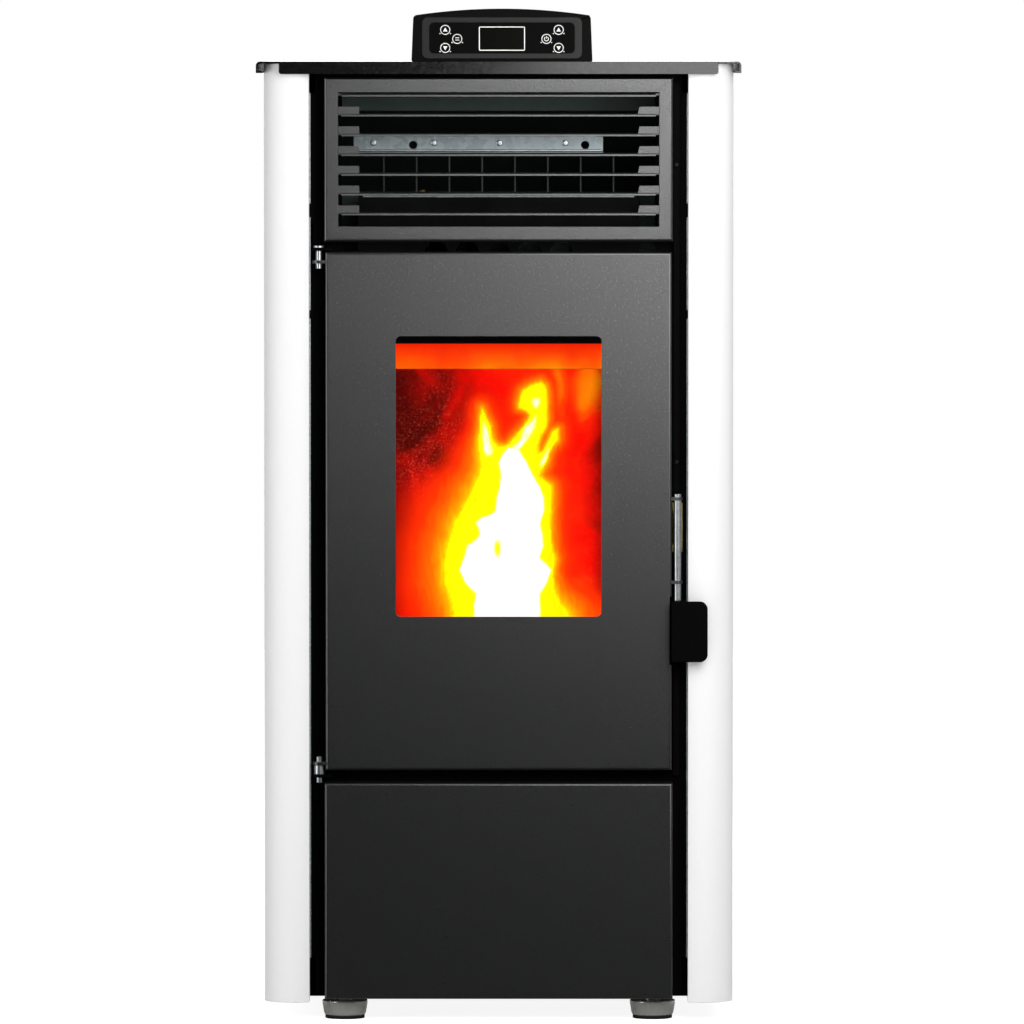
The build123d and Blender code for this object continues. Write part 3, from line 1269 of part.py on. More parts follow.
with BuildPart() as control_board:
    board_y = panel_rear - board_post
    board_face = board_y - board_thickness
    block(board_x, (board_face, board_y), board_z)
    for x in (board_x[0] + post_inset, board_x[1] - post_inset):
        for z in (board_z[0] + post_inset, board_z[1] - post_inset):
            bar((x, board_y, z), (0, 1, 0), post_radius, board_post)
    low_left = (board_x[0] + board_edge, board_face, board_z[0] + board_edge)
    low_right = (board_x[1] - board_edge, board_face, board_z[0] + board_edge)
    with Locations(low_left):
        Box(*transformer, align=(Align.MIN, Align.MAX, Align.MIN))
    with Locations(low_right):
        with Locations([(-number * relay_pitch, 0, 0) for number in range(relay_count)]):
            Box(*relay, align=(Align.MAX, Align.MAX, Align.MIN))
    bar((board_x[0] + 30.0, board_face, board_z[1] - 35.0), (0, -1, 0), capacitor_radius, capacitor_length)
    with Locations((board_x[1] - board_edge, board_face, board_z[1] - board_edge)):
        Box(*terminal, align=(Align.MAX, Align.MAX, Align.MAX))
control_board.part.label = "control_board"
export_step(control_board.part, "parts/control_board.step")

# Power inlet with its three contacts, and the rocker switch above it
inlet_flange = 4.0
inlet_depth = 28.0
socket_width = 25.0
socket_height = 17.0
socket_z = inlet_z - 18.0
socket_depth = 16.0
contact_pitch = 7.0
contact_thickness = 2.0
contact_width = 4.0
contact_sink = 4.0  # contacts' ends below the flange's face
rocker_z = inlet_z + 20.0
rocker_y = back_face - 3.0
rocker_width = 21.0
rocker_half = 8.0
rocker_face = 6.5  # rocker's raised ends ahead of its axis
rocker_waist = 4.8
rocker_root = 4.0
rocker_foot = 6.5  # half height of the rocker's rear edge
rocker_throw = 10.0  # degrees either way of level
rocker_slot = 9.6
trunnion = 1.5

with BuildPart() as power_inlet:
    body_x = (inlet_x - inlet_width / 2, inlet_x + inlet_width / 2)
    body_z = (inlet_z - inlet_height / 2, inlet_z + inlet_height / 2)
    outer_face = back_face + sheet
    block(body_x, (back_face - inlet_depth, back_face), body_z)
    flange_x = (body_x[0] - inlet_flange, body_x[1] + inlet_flange)
    block(flange_x, (back_face, outer_face), (body_z[0] - inlet_flange, body_z[1] + inlet_flange))
    socket_x = (inlet_x - socket_width / 2, inlet_x + socket_width / 2)
    socket_limits = (socket_z - socket_height / 2, socket_z + socket_height / 2)
    socket_floor = outer_face - socket_depth
    block(socket_x, (socket_floor, outer_face), socket_limits, Mode.SUBTRACT)
    with Locations((inlet_x - contact_pitch, socket_floor, socket_z - contact_thickness),
                   (inlet_x, socket_floor, socket_z + contact_thickness),
                   (inlet_x + contact_pitch, socket_floor, socket_z - contact_thickness)):
        Box(contact_thickness, socket_depth - contact_sink, contact_width,
            align=(Align.CENTER, Align.MIN, Align.CENTER))
    slot_x = (inlet_x - rocker_width / 2 - rest_gap, inlet_x + rocker_width / 2 + rest_gap)
    slot_z = (rocker_z - rocker_slot, rocker_z + rocker_slot)
    block(slot_x, (rocker_y - rocker_slot, outer_face), slot_z, Mode.SUBTRACT)
    for side, direction in ((slot_x[0], (1, 0, 0)), (slot_x[1], (-1, 0, 0))):
        bar((side, rocker_y, rocker_z), direction, trunnion, trunnion + rest_gap)
power_inlet.part.label = "power_inlet"
export_step(power_inlet.part, "parts/power_inlet.step")

with BuildPart() as power_rocker:
    tilt = radians(rocker_throw)
    rocker_left = inlet_x - rocker_width / 2
    tilted = Plane(origin=(rocker_left, rocker_y, rocker_z), x_dir=(0, cos(tilt), sin(tilt)), z_dir=(1, 0, 0))
    with BuildSketch(tilted):
        with BuildLine():
            Polyline((-rocker_root, -rocker_foot), (rocker_face, -rocker_half), (rocker_waist, 0),
                     (rocker_face, rocker_half), (-rocker_root, rocker_foot), close=True)
        make_face()
    extrude(amount=rocker_width)
    trunnion_bore = trunnion + running_gap
    bar((rocker_left, rocker_y, rocker_z), (1, 0, 0), trunnion_bore, rocker_width, Mode.SUBTRACT)
power_rocker.part.label = "power_rocker"
export_step(power_rocker.part, "parts/power_rocker.step")
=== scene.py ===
import json
from functools import cache, partial
from math import cos, exp, hypot, inf, pi, radians, sin, sqrt

import bmesh
import bpy
from bpy.props import FloatProperty, FloatVectorProperty, IntProperty, PointerProperty
from mathutils import Matrix, Vector


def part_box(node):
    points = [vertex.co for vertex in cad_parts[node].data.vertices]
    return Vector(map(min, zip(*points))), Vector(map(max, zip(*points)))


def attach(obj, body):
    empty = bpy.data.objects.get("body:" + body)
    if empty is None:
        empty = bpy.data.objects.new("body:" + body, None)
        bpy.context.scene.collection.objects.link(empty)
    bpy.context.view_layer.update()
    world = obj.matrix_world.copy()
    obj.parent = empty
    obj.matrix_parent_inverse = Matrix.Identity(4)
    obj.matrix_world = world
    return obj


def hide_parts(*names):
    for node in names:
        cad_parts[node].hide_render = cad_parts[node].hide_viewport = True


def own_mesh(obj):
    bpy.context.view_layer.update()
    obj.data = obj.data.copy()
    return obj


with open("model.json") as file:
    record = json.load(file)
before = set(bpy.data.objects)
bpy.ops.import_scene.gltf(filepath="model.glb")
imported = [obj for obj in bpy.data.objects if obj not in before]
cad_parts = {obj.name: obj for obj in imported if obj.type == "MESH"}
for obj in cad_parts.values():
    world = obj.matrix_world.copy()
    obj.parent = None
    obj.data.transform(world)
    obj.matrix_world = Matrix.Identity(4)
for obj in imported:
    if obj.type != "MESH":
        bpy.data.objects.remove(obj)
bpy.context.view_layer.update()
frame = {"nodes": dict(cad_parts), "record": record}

bl_info = {
    "name": "Pellet Stove",
    "version": (1, 0, 0),
    "blender": (4, 5, 0),
    "location": "View3D > Sidebar > Stove",
    "description": "Builds the visible pieces of a free-standing pellet stove round its fixed frame",
    "category": "Object",
}

MM = 0.001
X, Y, Z = Vector((1, 0, 0)), Vector((0, 1, 0)), Vector((0, 0, 1))
ALONG_X = X.to_track_quat("Z", "Y").to_matrix().to_4x4()  # lays a turned body along X
BODY_OF = {node: body for body, nodes in frame["record"]["behaviour"]["bodies"].items() for node in nodes}
SLOT_OF = {part["node"]: part["material_slot"] for part in frame["record"]["subparts"]}


# ---------------------------------------------------------------- finishes

def linear(code):
    """An sRGB hex colour as the linear colour that shaders take."""
    parts = [int(code[i:i + 2], 16) / 255 for i in (1, 3, 5)]
    return (*[c / 12.92 if c <= 0.04045 else ((c + 0.055) / 1.055) ** 2.4 for c in parts], 1)


def per_mm(size):
    """The scale at which a pattern's features are so many millimetres wide."""
    return 1 / (size * MM)


def in_use(sockets, name=None):
    """The first socket that a node's settings leave in use, of any name or of one."""
    return next(socket for socket in sockets if socket.enabled and name in (None, socket.name))


def add_node(tree, kind, inputs=None, stops=(), **settings):
    """Adds a node with its settings and colour stops, and fills its inputs, found by name or place.

    An input takes a value, a hex colour, a socket, or a node, which gives its first output in use.
    """
    node = tree.nodes.new(kind)
    for key, value in settings.items():
        setattr(node, key, value)
    for _ in stops[2:]:
        node.color_ramp.elements.new(0.5)
    for number, (at, code) in enumerate(stops):
        node.color_ramp.elements[number].position = at
        node.color_ramp.elements[number].color = linear(code)
    for key, value in (inputs or {}).items():
        socket = in_use(node.inputs, key) if isinstance(key, str) else node.inputs[key]
        if isinstance(value, bpy.types.Node):
            value = in_use(value.outputs)
        if isinstance(value, bpy.types.NodeSocket):
            tree.links.new(value, socket)
        else:
            socket.default_value = linear(value) if isinstance(value, str) else value
    return node


def new_material(name, recipe, **numbers):
    """A material whose recipe adds nodes on object coordinates and returns what goes into its shader."""
    material = bpy.data.materials.new(name)
    material.use_nodes = True
    tree = material.node_tree
    tree.nodes.clear()
    where = add_node(tree, "ShaderNodeTexCoord").outputs["Object"]
    surface = add_node(tree, "ShaderNodeBsdfPrincipled", recipe(partial(add_node, tree), where, **numbers))
    add_node(tree, "ShaderNodeOutputMaterial", {"Surface": surface})
    return material


@cache
def finish_of(key):
    """The material of a finish, made once."""
    name, recipe, numbers = FINISHES[key]
    return new_material(name, recipe, **numbers)


NOISE_SPREAD = {"From Min": 0.3, "From Max": 0.7}  # nearly all of a noise's values lie between these


def powder_coat(add, where, colour, grain, roughness, depth, specular=0.5, mottle=0.06):
    """Powder, sprayed dry and baked: a skin of melted grains, so highlights break up into fine sparkle."""
    grains = add("ShaderNodeTexNoise", {"Vector": where, "Scale": per_mm(grain), "Detail": 4.0, "Roughness": 0.7})
    shade = add("ShaderNodeMapRange", {"Value": grains, **NOISE_SPREAD, "To Min": 1 - mottle, "To Max": 1 + mottle})
    tone = add("ShaderNodeVectorMath", {0: linear(colour)[:3], "Scale": shade}, operation="SCALE")
    gloss = add("ShaderNodeMapRange", {
        "Value": grains, **NOISE_SPREAD, "To Min": roughness + 0.06, "To Max": roughness - 0.06})
    relief = add("ShaderNodeBump", {"Height": grains, "Distance": depth * MM})
    return {"Base Color": tone, "Roughness": gloss, "Specular IOR Level": specular, "Normal": relief}


def metal(add, where, dark, light, patch, roughness, spread, spangled=False, brushed=None, bare=1.0):
    """Bare or plated metal whose tone and gloss drift from patch to patch, brushed along stretched lines."""
    if spangled:
        crystals = add("ShaderNodeTexVoronoi", {"Vector": where, "Scale": per_mm(patch)})
        drift = add("ShaderNodeSeparateColor", {"Color": crystals.outputs["Color"]})
    else:
        drift = add("ShaderNodeTexNoise", {"Vector": where, "Scale": per_mm(patch), "Detail": 4.0})
    tone = add("ShaderNodeValToRGB", {"Fac": drift}, [(0.2, dark), (0.8, light)])
    gloss = add("ShaderNodeMapRange", {"Value": drift, "To Min": roughness - spread, "To Max": roughness + spread})
    look = {"Base Color": tone, "Metallic": bare, "Roughness": gloss}
    if brushed:
        along = add("ShaderNodeMapping", {"Vector": where, "Scale": brushed})
        lines = add("ShaderNodeTexNoise", {"Vector": along, "Scale": per_mm(1), "Detail": 2.0})
        look["Normal"] = add("ShaderNodeBump", {"Height": lines, "Distance": 0.01 * MM})
    return look


def moulded(add, where, colour, grain, roughness, depth, specular=0.5):
    """Moulded plastic or rubber with the spark-eroded grain of its mould."""
    skin = add("ShaderNodeTexNoise", {"Vector": where, "Scale": per_mm(grain), "Detail": 2.0})
    gloss = add("ShaderNodeMapRange", {"Value": skin, "To Min": roughness - 0.04, "To Max": roughness + 0.04})
    relief = add("ShaderNodeBump", {"Height": skin, "Distance": depth * MM})
    return {"Base Color": colour, "Roughness": gloss, "Specular IOR Level": specular, "Normal": relief}


def sooty_paint(add, where):
    """Paint with ash and soot settled on it in clouds."""
    soot = add("ShaderNodeTexNoise", {"Vector": where, "Scale": per_mm(38), "Detail": 6.0, "Roughness": 0.65})
    tone = add("ShaderNodeValToRGB", {"Fac": soot}, [(0.35, "#080809"), (0.62, "#0e0e0e"), (0.8, "#191817")])
    fine = add("ShaderNodeTexNoise", {"Vector": where, "Scale": per_mm(1.5), "Detail": 2.0})
    relief = add("ShaderNodeBump", {"Height": fine, "Distance": 0.06 * MM})
    return {"Base Color": tone, "Roughness": 0.8, "Specular IOR Level": 0.06, "Normal": relief}


def painted_rail(add, where):
    """Painted shade: the rail is drawn black, as the shade of the side gaps, except for its cut front edge, where the
    zinc is bare.
    """
    edge_y = -0.2150
    axes = add("ShaderNodeSeparateXYZ", {"Vector": where})
    bare = add("ShaderNodeMapRange", {"Value": axes.outputs["Y"], "From Min": edge_y - 0.0002,
                                      "From Max": edge_y + 0.0002, "To Min": 1.0, "To Max": 0.0})
    skin = add("ShaderNodeTexNoise", {"Vector": where, "Scale": per_mm(3.0), "Detail": 2.0})
    zinc = add("ShaderNodeValToRGB", {"Fac": skin}, [(0.3, "#8d9596"), (0.7, "#b9c0c1")])
    tone = add("ShaderNodeMix", {"Factor": bare, "A": "#050505", "B": zinc}, data_type="RGBA")
    return {"Base Color": tone, "Metallic": bare, "Roughness": 0.5, "Specular IOR Level": 0.03}


def burnt_iron(add, where):
    """Sand-cast iron, burnt dark, with ash in its hollows and the fire's light painted on as a faint orange glow."""
    sand = add("ShaderNodeTexNoise", {"Vector": where, "Scale": per_mm(2.2), "Detail": 5.0, "Roughness": 0.7})
    ash = add("ShaderNodeTexNoise", {"Vector": where, "Scale": per_mm(14), "Detail": 3.0})
    tone = add("ShaderNodeValToRGB", {"Fac": ash}, [(0.4, "#2c2927"), (0.6, "#4b4642"), (0.75, "#8b847c")])
    relief = add("ShaderNodeBump", {"Height": sand, "Distance": 0.3 * MM})
    return {"Base Color": tone, "Roughness": 0.75, "Normal": relief,
            "Emission Color": "#ff5a00", "Emission Strength": 0.12}


# Patches of painted firelight on the back liner as ellipses, in millimetres: the middle's x and z, half the width and
# height, the shares of these at which the patch starts to fade and has faded, and its strength
GLOW_PATCHES = {
    # Brightest painted firelight: beside the flame's foot, and where its smoke rolls up on the right
    "hot": [(2, 436, 62, 120, 0.7, 1.5, 0.4), (84, 604, 46, 40, 0.2, 1.4, 0.5),
            (64, 386, 46, 30, 0.2, 1.3, 0.9), (30, 636, 60, 30, 0.1, 1.4, 0.4)],
    "curled": [(84, 596, 52, 48, 0.3, 1.2, 0.5)],
    # Painted shade, dimming the firelight: high on the left, and along both edges
    "cold": [(-96, 580, 72, 100, 0.2, 1.45, 1.06), (-106, 490, 36, 140, 0.2, 1.5, 0.9),
             (112, 520, 22, 90, 0.4, 1.4, 0.95)],
    "sparkling": [(-70, 540, 40, 96, 0.5, 1.2, 0.34)],
}


def glowing_vermiculite(add, where):
    """Flaky, sooty board with the fire's light painted on as red emission, brighter and dimmer in patches, and painted
    glints of mica flakes on the left.
    """
    flakes = add("ShaderNodeTexVoronoi", {"Vector": where, "Scale": per_mm(3.2)})
    mica = add("ShaderNodeSeparateColor", {"Color": flakes.outputs["Color"]})
    tone = add("ShaderNodeValToRGB", {"Fac": mica}, [(0.0, "#120b07"), (0.6, "#1c120b"), (1.0, "#332417")])
    grit = add("ShaderNodeTexNoise", {"Vector": where, "Scale": per_mm(2.2), "Detail": 4.0, "Roughness": 0.8})
    relief = add("ShaderNodeBump", {"Height": grit, "Distance": 0.4 * MM})
    # Both edges lie in the liners' shadow
    axes = add("ShaderNodeSeparateXYZ", {"Vector": where})
    side = add("ShaderNodeMath", {0: axes.outputs["X"]}, operation="ABSOLUTE")
    shadow = add("ShaderNodeMapRange", {"Value": side, "From Min": 0.090, "From Max": 0.104, "To Max": 0.9})
    # Painted shade: the dimmed share starts with the shadow of both edges
    levels = {"cold": shadow}
    swirl = add("ShaderNodeTexNoise", {"Vector": where, "Scale": per_mm(55), "Detail": 2.0, "Distortion": 1.5})
    bend = add("ShaderNodeMapRange", {
        "Value": swirl, "From Min": 0.25, "From Max": 0.75, "To Min": -0.35, "To Max": 0.35})
    for patch, ellipses in GLOW_PATCHES.items():
        for x, z, half_x, half_z, full, gone, strength in ellipses:
            moved = add("ShaderNodeMapping", {"Vector": where, "Location": (-x / half_x, 0, -z / half_z),
                                              "Scale": (per_mm(half_x), 0, per_mm(half_z))})
            span = add("ShaderNodeVectorMath", {0: moved}, operation="LENGTH")
            ragged = add("ShaderNodeMath", {0: span, 1: bend}, operation="ADD")
            level = add("ShaderNodeMapRange", {
                "Value": ragged, "From Min": full, "From Max": gone, "To Min": strength, "To Max": 0.0},
                interpolation_type="SMOOTHSTEP")
            if patch in levels:
                level = add("ShaderNodeMath", {0: levels[patch], 1: level}, operation="MAXIMUM")
            levels[patch] = level
    # Painted firelight in curls where the smoke rolls up
    curls = add("ShaderNodeTexWave", {
        "Vector": where, "Scale": per_mm(120), "Distortion": 9.0, "Detail": 2.0, "Detail Scale": 1.2})
    curl = add("ShaderNodeMath", {0: curls.outputs["Fac"], 1: levels["curled"]}, operation="MULTIPLY")
    warm = add("ShaderNodeMath", {0: levels["hot"], 1: curl}, operation="ADD")
    glow = add("ShaderNodeValToRGB", {"Fac": warm}, [
        (0.0, "#f80600"), (0.35, "#ff2000"), (0.7, "#ff4c00"), (1.0, "#ff8200")])
    # Painted shade: the firelight is dimmer in the edges' shadow and in the dim patches
    bright = add("ShaderNodeMath", {0: 1.15, 1: levels["cold"]}, operation="SUBTRACT")
    # Painted glints, pink, on the mica flakes on the left
    spark = add("ShaderNodeValToRGB", {"Fac": grit}, [(0.55, "#000000"), (0.64, "#ffffff")])
    speck = add("ShaderNodeMath", {0: spark, 1: levels["sparkling"]}, operation="MULTIPLY")
    pink = add("ShaderNodeMix", {"Factor": speck, "A": glow, "B": "#ff8a6a"}, data_type="RGBA")
    strength = add("ShaderNodeMath", {0: bright, 1: speck}, operation="ADD")
    return {"Base Color": tone, "Roughness": 0.9, "Specular IOR Level": 0.1, "Normal": relief,
            "Emission Color": pink, "Emission Strength": strength}


def glowing_baffle(add, where):
    """Board with the fire's light painted on its front edge in orange, brighter along its foot and to the right. Its
    top lies in the dark.
    """
    grit = add("ShaderNodeTexNoise", {"Vector": where, "Scale": per_mm(3.0), "Detail": 4.0, "Roughness": 0.7})
    relief = add("ShaderNodeBump", {"Height": grit, "Distance": 0.4 * MM})
    axes = add("ShaderNodeSeparateXYZ", {"Vector": where})
    rise = add("ShaderNodeMapRange", {
        "Value": axes.outputs["Z"], "From Min": 0.622, "From Max": 0.646, "To Min": 1.0, "To Max": 0.1})
    across = add("ShaderNodeMapRange", {
        "Value": axes.outputs["X"], "From Min": -0.1, "From Max": 0.09, "To Min": 0.7, "To Max": 1.1})
    even = add("ShaderNodeMath", {0: rise, 1: across}, operation="MULTIPLY")
    drift = add("ShaderNodeTexNoise", {"Vector": where, "Scale": per_mm(42), "Detail": 2.0})
    warm = add("ShaderNodeMath", {0: even, 1: drift}, operation="MULTIPLY")
    glow = add("ShaderNodeValToRGB", {"Fac": warm}, [
        (0.03, "#f01e00"), (0.22, "#ff3c00"), (0.42, "#ff6400"), (0.7, "#ff9a00")])
    front = add("ShaderNodeMapRange", {
        "Value": axes.outputs["Y"], "From Min": -0.0990, "From Max": -0.0975, "To Min": 1.1, "To Max": 0.0})
    return {"Base Color": "#2b1d14", "Roughness": 0.9, "Specular IOR Level": 0.1, "Normal": relief,
            "Emission Color": glow, "Emission Strength": front}


def flame(add, where):
    """Gas coloured by the heat stored at each point, thinning out at its edge."""
    heat = add("ShaderNodeAttribute", attribute_name="flame_heat").outputs["Fac"]
    drawn = add("ShaderNodeMapping", {"Vector": where, "Scale": (1.5, 1.0, 0.45)})
    wisps = add("ShaderNodeTexNoise", {"Vector": drawn, "Scale": per_mm(13), "Detail": 4.0, "Distortion": 1.6})
    flicker = add("ShaderNodeMapRange", {"Value": wisps, **NOISE_SPREAD, "To Min": -0.03, "To Max": 0.03})
    stirred = add("ShaderNodeMath", {0: heat, 1: flicker}, operation="ADD")
    glow = add("ShaderNodeValToRGB", {"Fac": stirred}, [
        (0.05, "#ff1000"), (0.22, "#ff3400"), (0.32, "#ff5a00"), (0.40, "#ff7800"), (0.48, "#ffa000"),
        (0.56, "#ffd200"), (0.64, "#fff500"), (0.80, "#ffff14"), (0.87, "#ffff8c"), (0.92, "#ffffff")])
    thin = add("ShaderNodeMapRange", {"Value": heat, "From Min": 0.05, "From Max": 0.32},
               interpolation_type="SMOOTHSTEP")
    return {"Base Color": "#000000", "Roughness": 1.0, "Specular IOR Level": 0.0,
            "Emission Color": glow, "Emission Strength": 1.3, "Alpha": thin}


def embers(add, where):
    """Charcoal that glows yellow to red between its cracks."""
    cracks = add("ShaderNodeTexNoise", {"Vector": where, "Scale": per_mm(9), "Detail": 4.0})
    glow = add("ShaderNodeValToRGB", {"Fac": cracks}, [(0.35, "#5a0800"), (0.5, "#ff4a00"), (0.65, "#ffd040")])
    return {"Base Color": "#1a1614", "Roughness": 0.9, "Emission Color": glow, "Emission Strength": 1.0}


def sawdust(add, where):
    """Pressed sawdust, with a gloss from the press."""
    dust = add("ShaderNodeTexNoise", {"Vector": where, "Scale": per_mm(1.6), "Detail": 3.0})
    tone = add("ShaderNodeValToRGB", {"Fac": dust}, [(0.3, "#8f6a3e"), (0.7, "#c9a36a")])
    relief = add("ShaderNodeBump", {"Height": dust, "Distance": 0.15 * MM})
    return {"Base Color": tone, "Roughness": 0.6, "Normal": relief}


def clear_glass(add, where):
    """Polished clear glass with a faint film of grease on it."""
    film = add("ShaderNodeTexNoise", {"Vector": where, "Scale": per_mm(80), "Detail": 3.0})
    gloss = add("ShaderNodeMapRange", {"Value": film, "To Min": 0.0, "To Max": 0.03})
    return {"Base Color": "#fbf8f4", "Roughness": gloss, "IOR": 1.5, "Transmission Weight": 1.0,
            "Specular IOR Level": 0.2}


def knitted_fibre(add, where):
    """Grey yarn, looped every 3 mm."""
    wave_length = 6.28  # the phase that one wave of the texture takes
    loops = add("ShaderNodeTexWave", {
        "Vector": where, "Scale": per_mm(3.0) / wave_length, "Distortion": 4.0, "Detail": 1.0}).outputs["Fac"]
    tone = add("ShaderNodeValToRGB", {"Fac": loops}, [(0.2, "#4c4b48"), (0.8, "#85827c")])
    relief = add("ShaderNodeBump", {"Height": loops, "Distance": 0.5 * MM})
    return {"Base Color": tone, "Roughness": 0.95, "Normal": relief}


def resist_over_tracks(add, where):
    """Green lacquer, with copper tracks under it as paler lines."""
    bricks = add("ShaderNodeTexBrick", {
        "Vector": where, "Scale": per_mm(6), "Mortar Size": 0.08, "Brick Width": 1.6, "Row Height": 0.4})
    tracks = bricks.outputs["Fac"]
    tone = add("ShaderNodeMix", {"Factor": tracks, "A": "#0d4a24", "B": "#2b7a45"}, data_type="RGBA")
    relief = add("ShaderNodeBump", {"Height": tracks, "Distance": 0.05 * MM})
    return {"Base Color": tone, "Roughness": 0.35, "Normal": relief}


def printed_ink(add, where):
    """Ink with the weave of its screen, and a faint painted glow."""
    screen = add("ShaderNodeTexNoise", {"Vector": where, "Scale": per_mm(0.8), "Detail": 1.0})
    tone = add("ShaderNodeValToRGB", {"Fac": screen}, [(0.2, "#dcdcd8"), (0.8, "#f6f6f2")])
    relief = add("ShaderNodeBump", {"Height": screen, "Distance": 0.01 * MM})
    return {"Base Color": tone, "Roughness": 0.7, "Normal": relief,
            "Emission Color": "#ffffff", "Emission Strength": 0.12}


def matt_floor(add, where, colour):
    """A pale floor. Seen directly or in a mirror it is lifted to the white of the background, and keeps its shadows.

    In front of the stove it is hushed to mirrors, so that the front doesn't shine from below.
    """
    depth, white = {"From Min": -0.3, "From Max": 0.4}, 0.9
    path = add("ShaderNodeLightPath").outputs
    axes = add("ShaderNodeSeparateXYZ", {"Vector": where})
    mirrored = add("ShaderNodeMath", {0: path["Is Camera Ray"], 1: path["Is Glossy Ray"]}, operation="MAXIMUM")
    seen = add("ShaderNodeMath", {0: mirrored, 1: path["Is Transmission Ray"]}, operation="MAXIMUM")
    behind = add("ShaderNodeMapRange", {"Value": axes.outputs["Y"], **depth, "To Min": 0.02, "To Max": white})
    far = add("ShaderNodeMath", {0: behind, 1: seen}, operation="MULTIPLY")
    straight = add("ShaderNodeMath", {0: path["Is Camera Ray"], 1: white}, operation="MULTIPLY")
    lift = add("ShaderNodeMath", {0: far, 1: straight}, operation="MAXIMUM")
    before = add("ShaderNodeMapRange", {"Value": axes.outputs["Y"], **depth, "To Min": 0.97, "To Max": 0.0})
    hush = add("ShaderNodeMath", {0: before, 1: path["Is Glossy Ray"]}, operation="MULTIPLY")
    grain = add("ShaderNodeTexNoise", {"Vector": where, "Scale": per_mm(900), "Detail": 2.0})
    paler = [min(1, c * 1.03) for c in colour]
    tone = add("ShaderNodeMix", {"Factor": grain, "A": (*colour, 1), "B": (*paler, 1)}, data_type="RGBA")
    dark = add("ShaderNodeMix", {"Factor": hush, "A": tone, "B": (0.02, 0.02, 0.02, 1)}, data_type="RGBA")
    return {"Base Color": dark, "Roughness": 0.9, "Specular IOR Level": 0.1,
            "Emission Color": "#ffffff", "Emission Strength": lift}


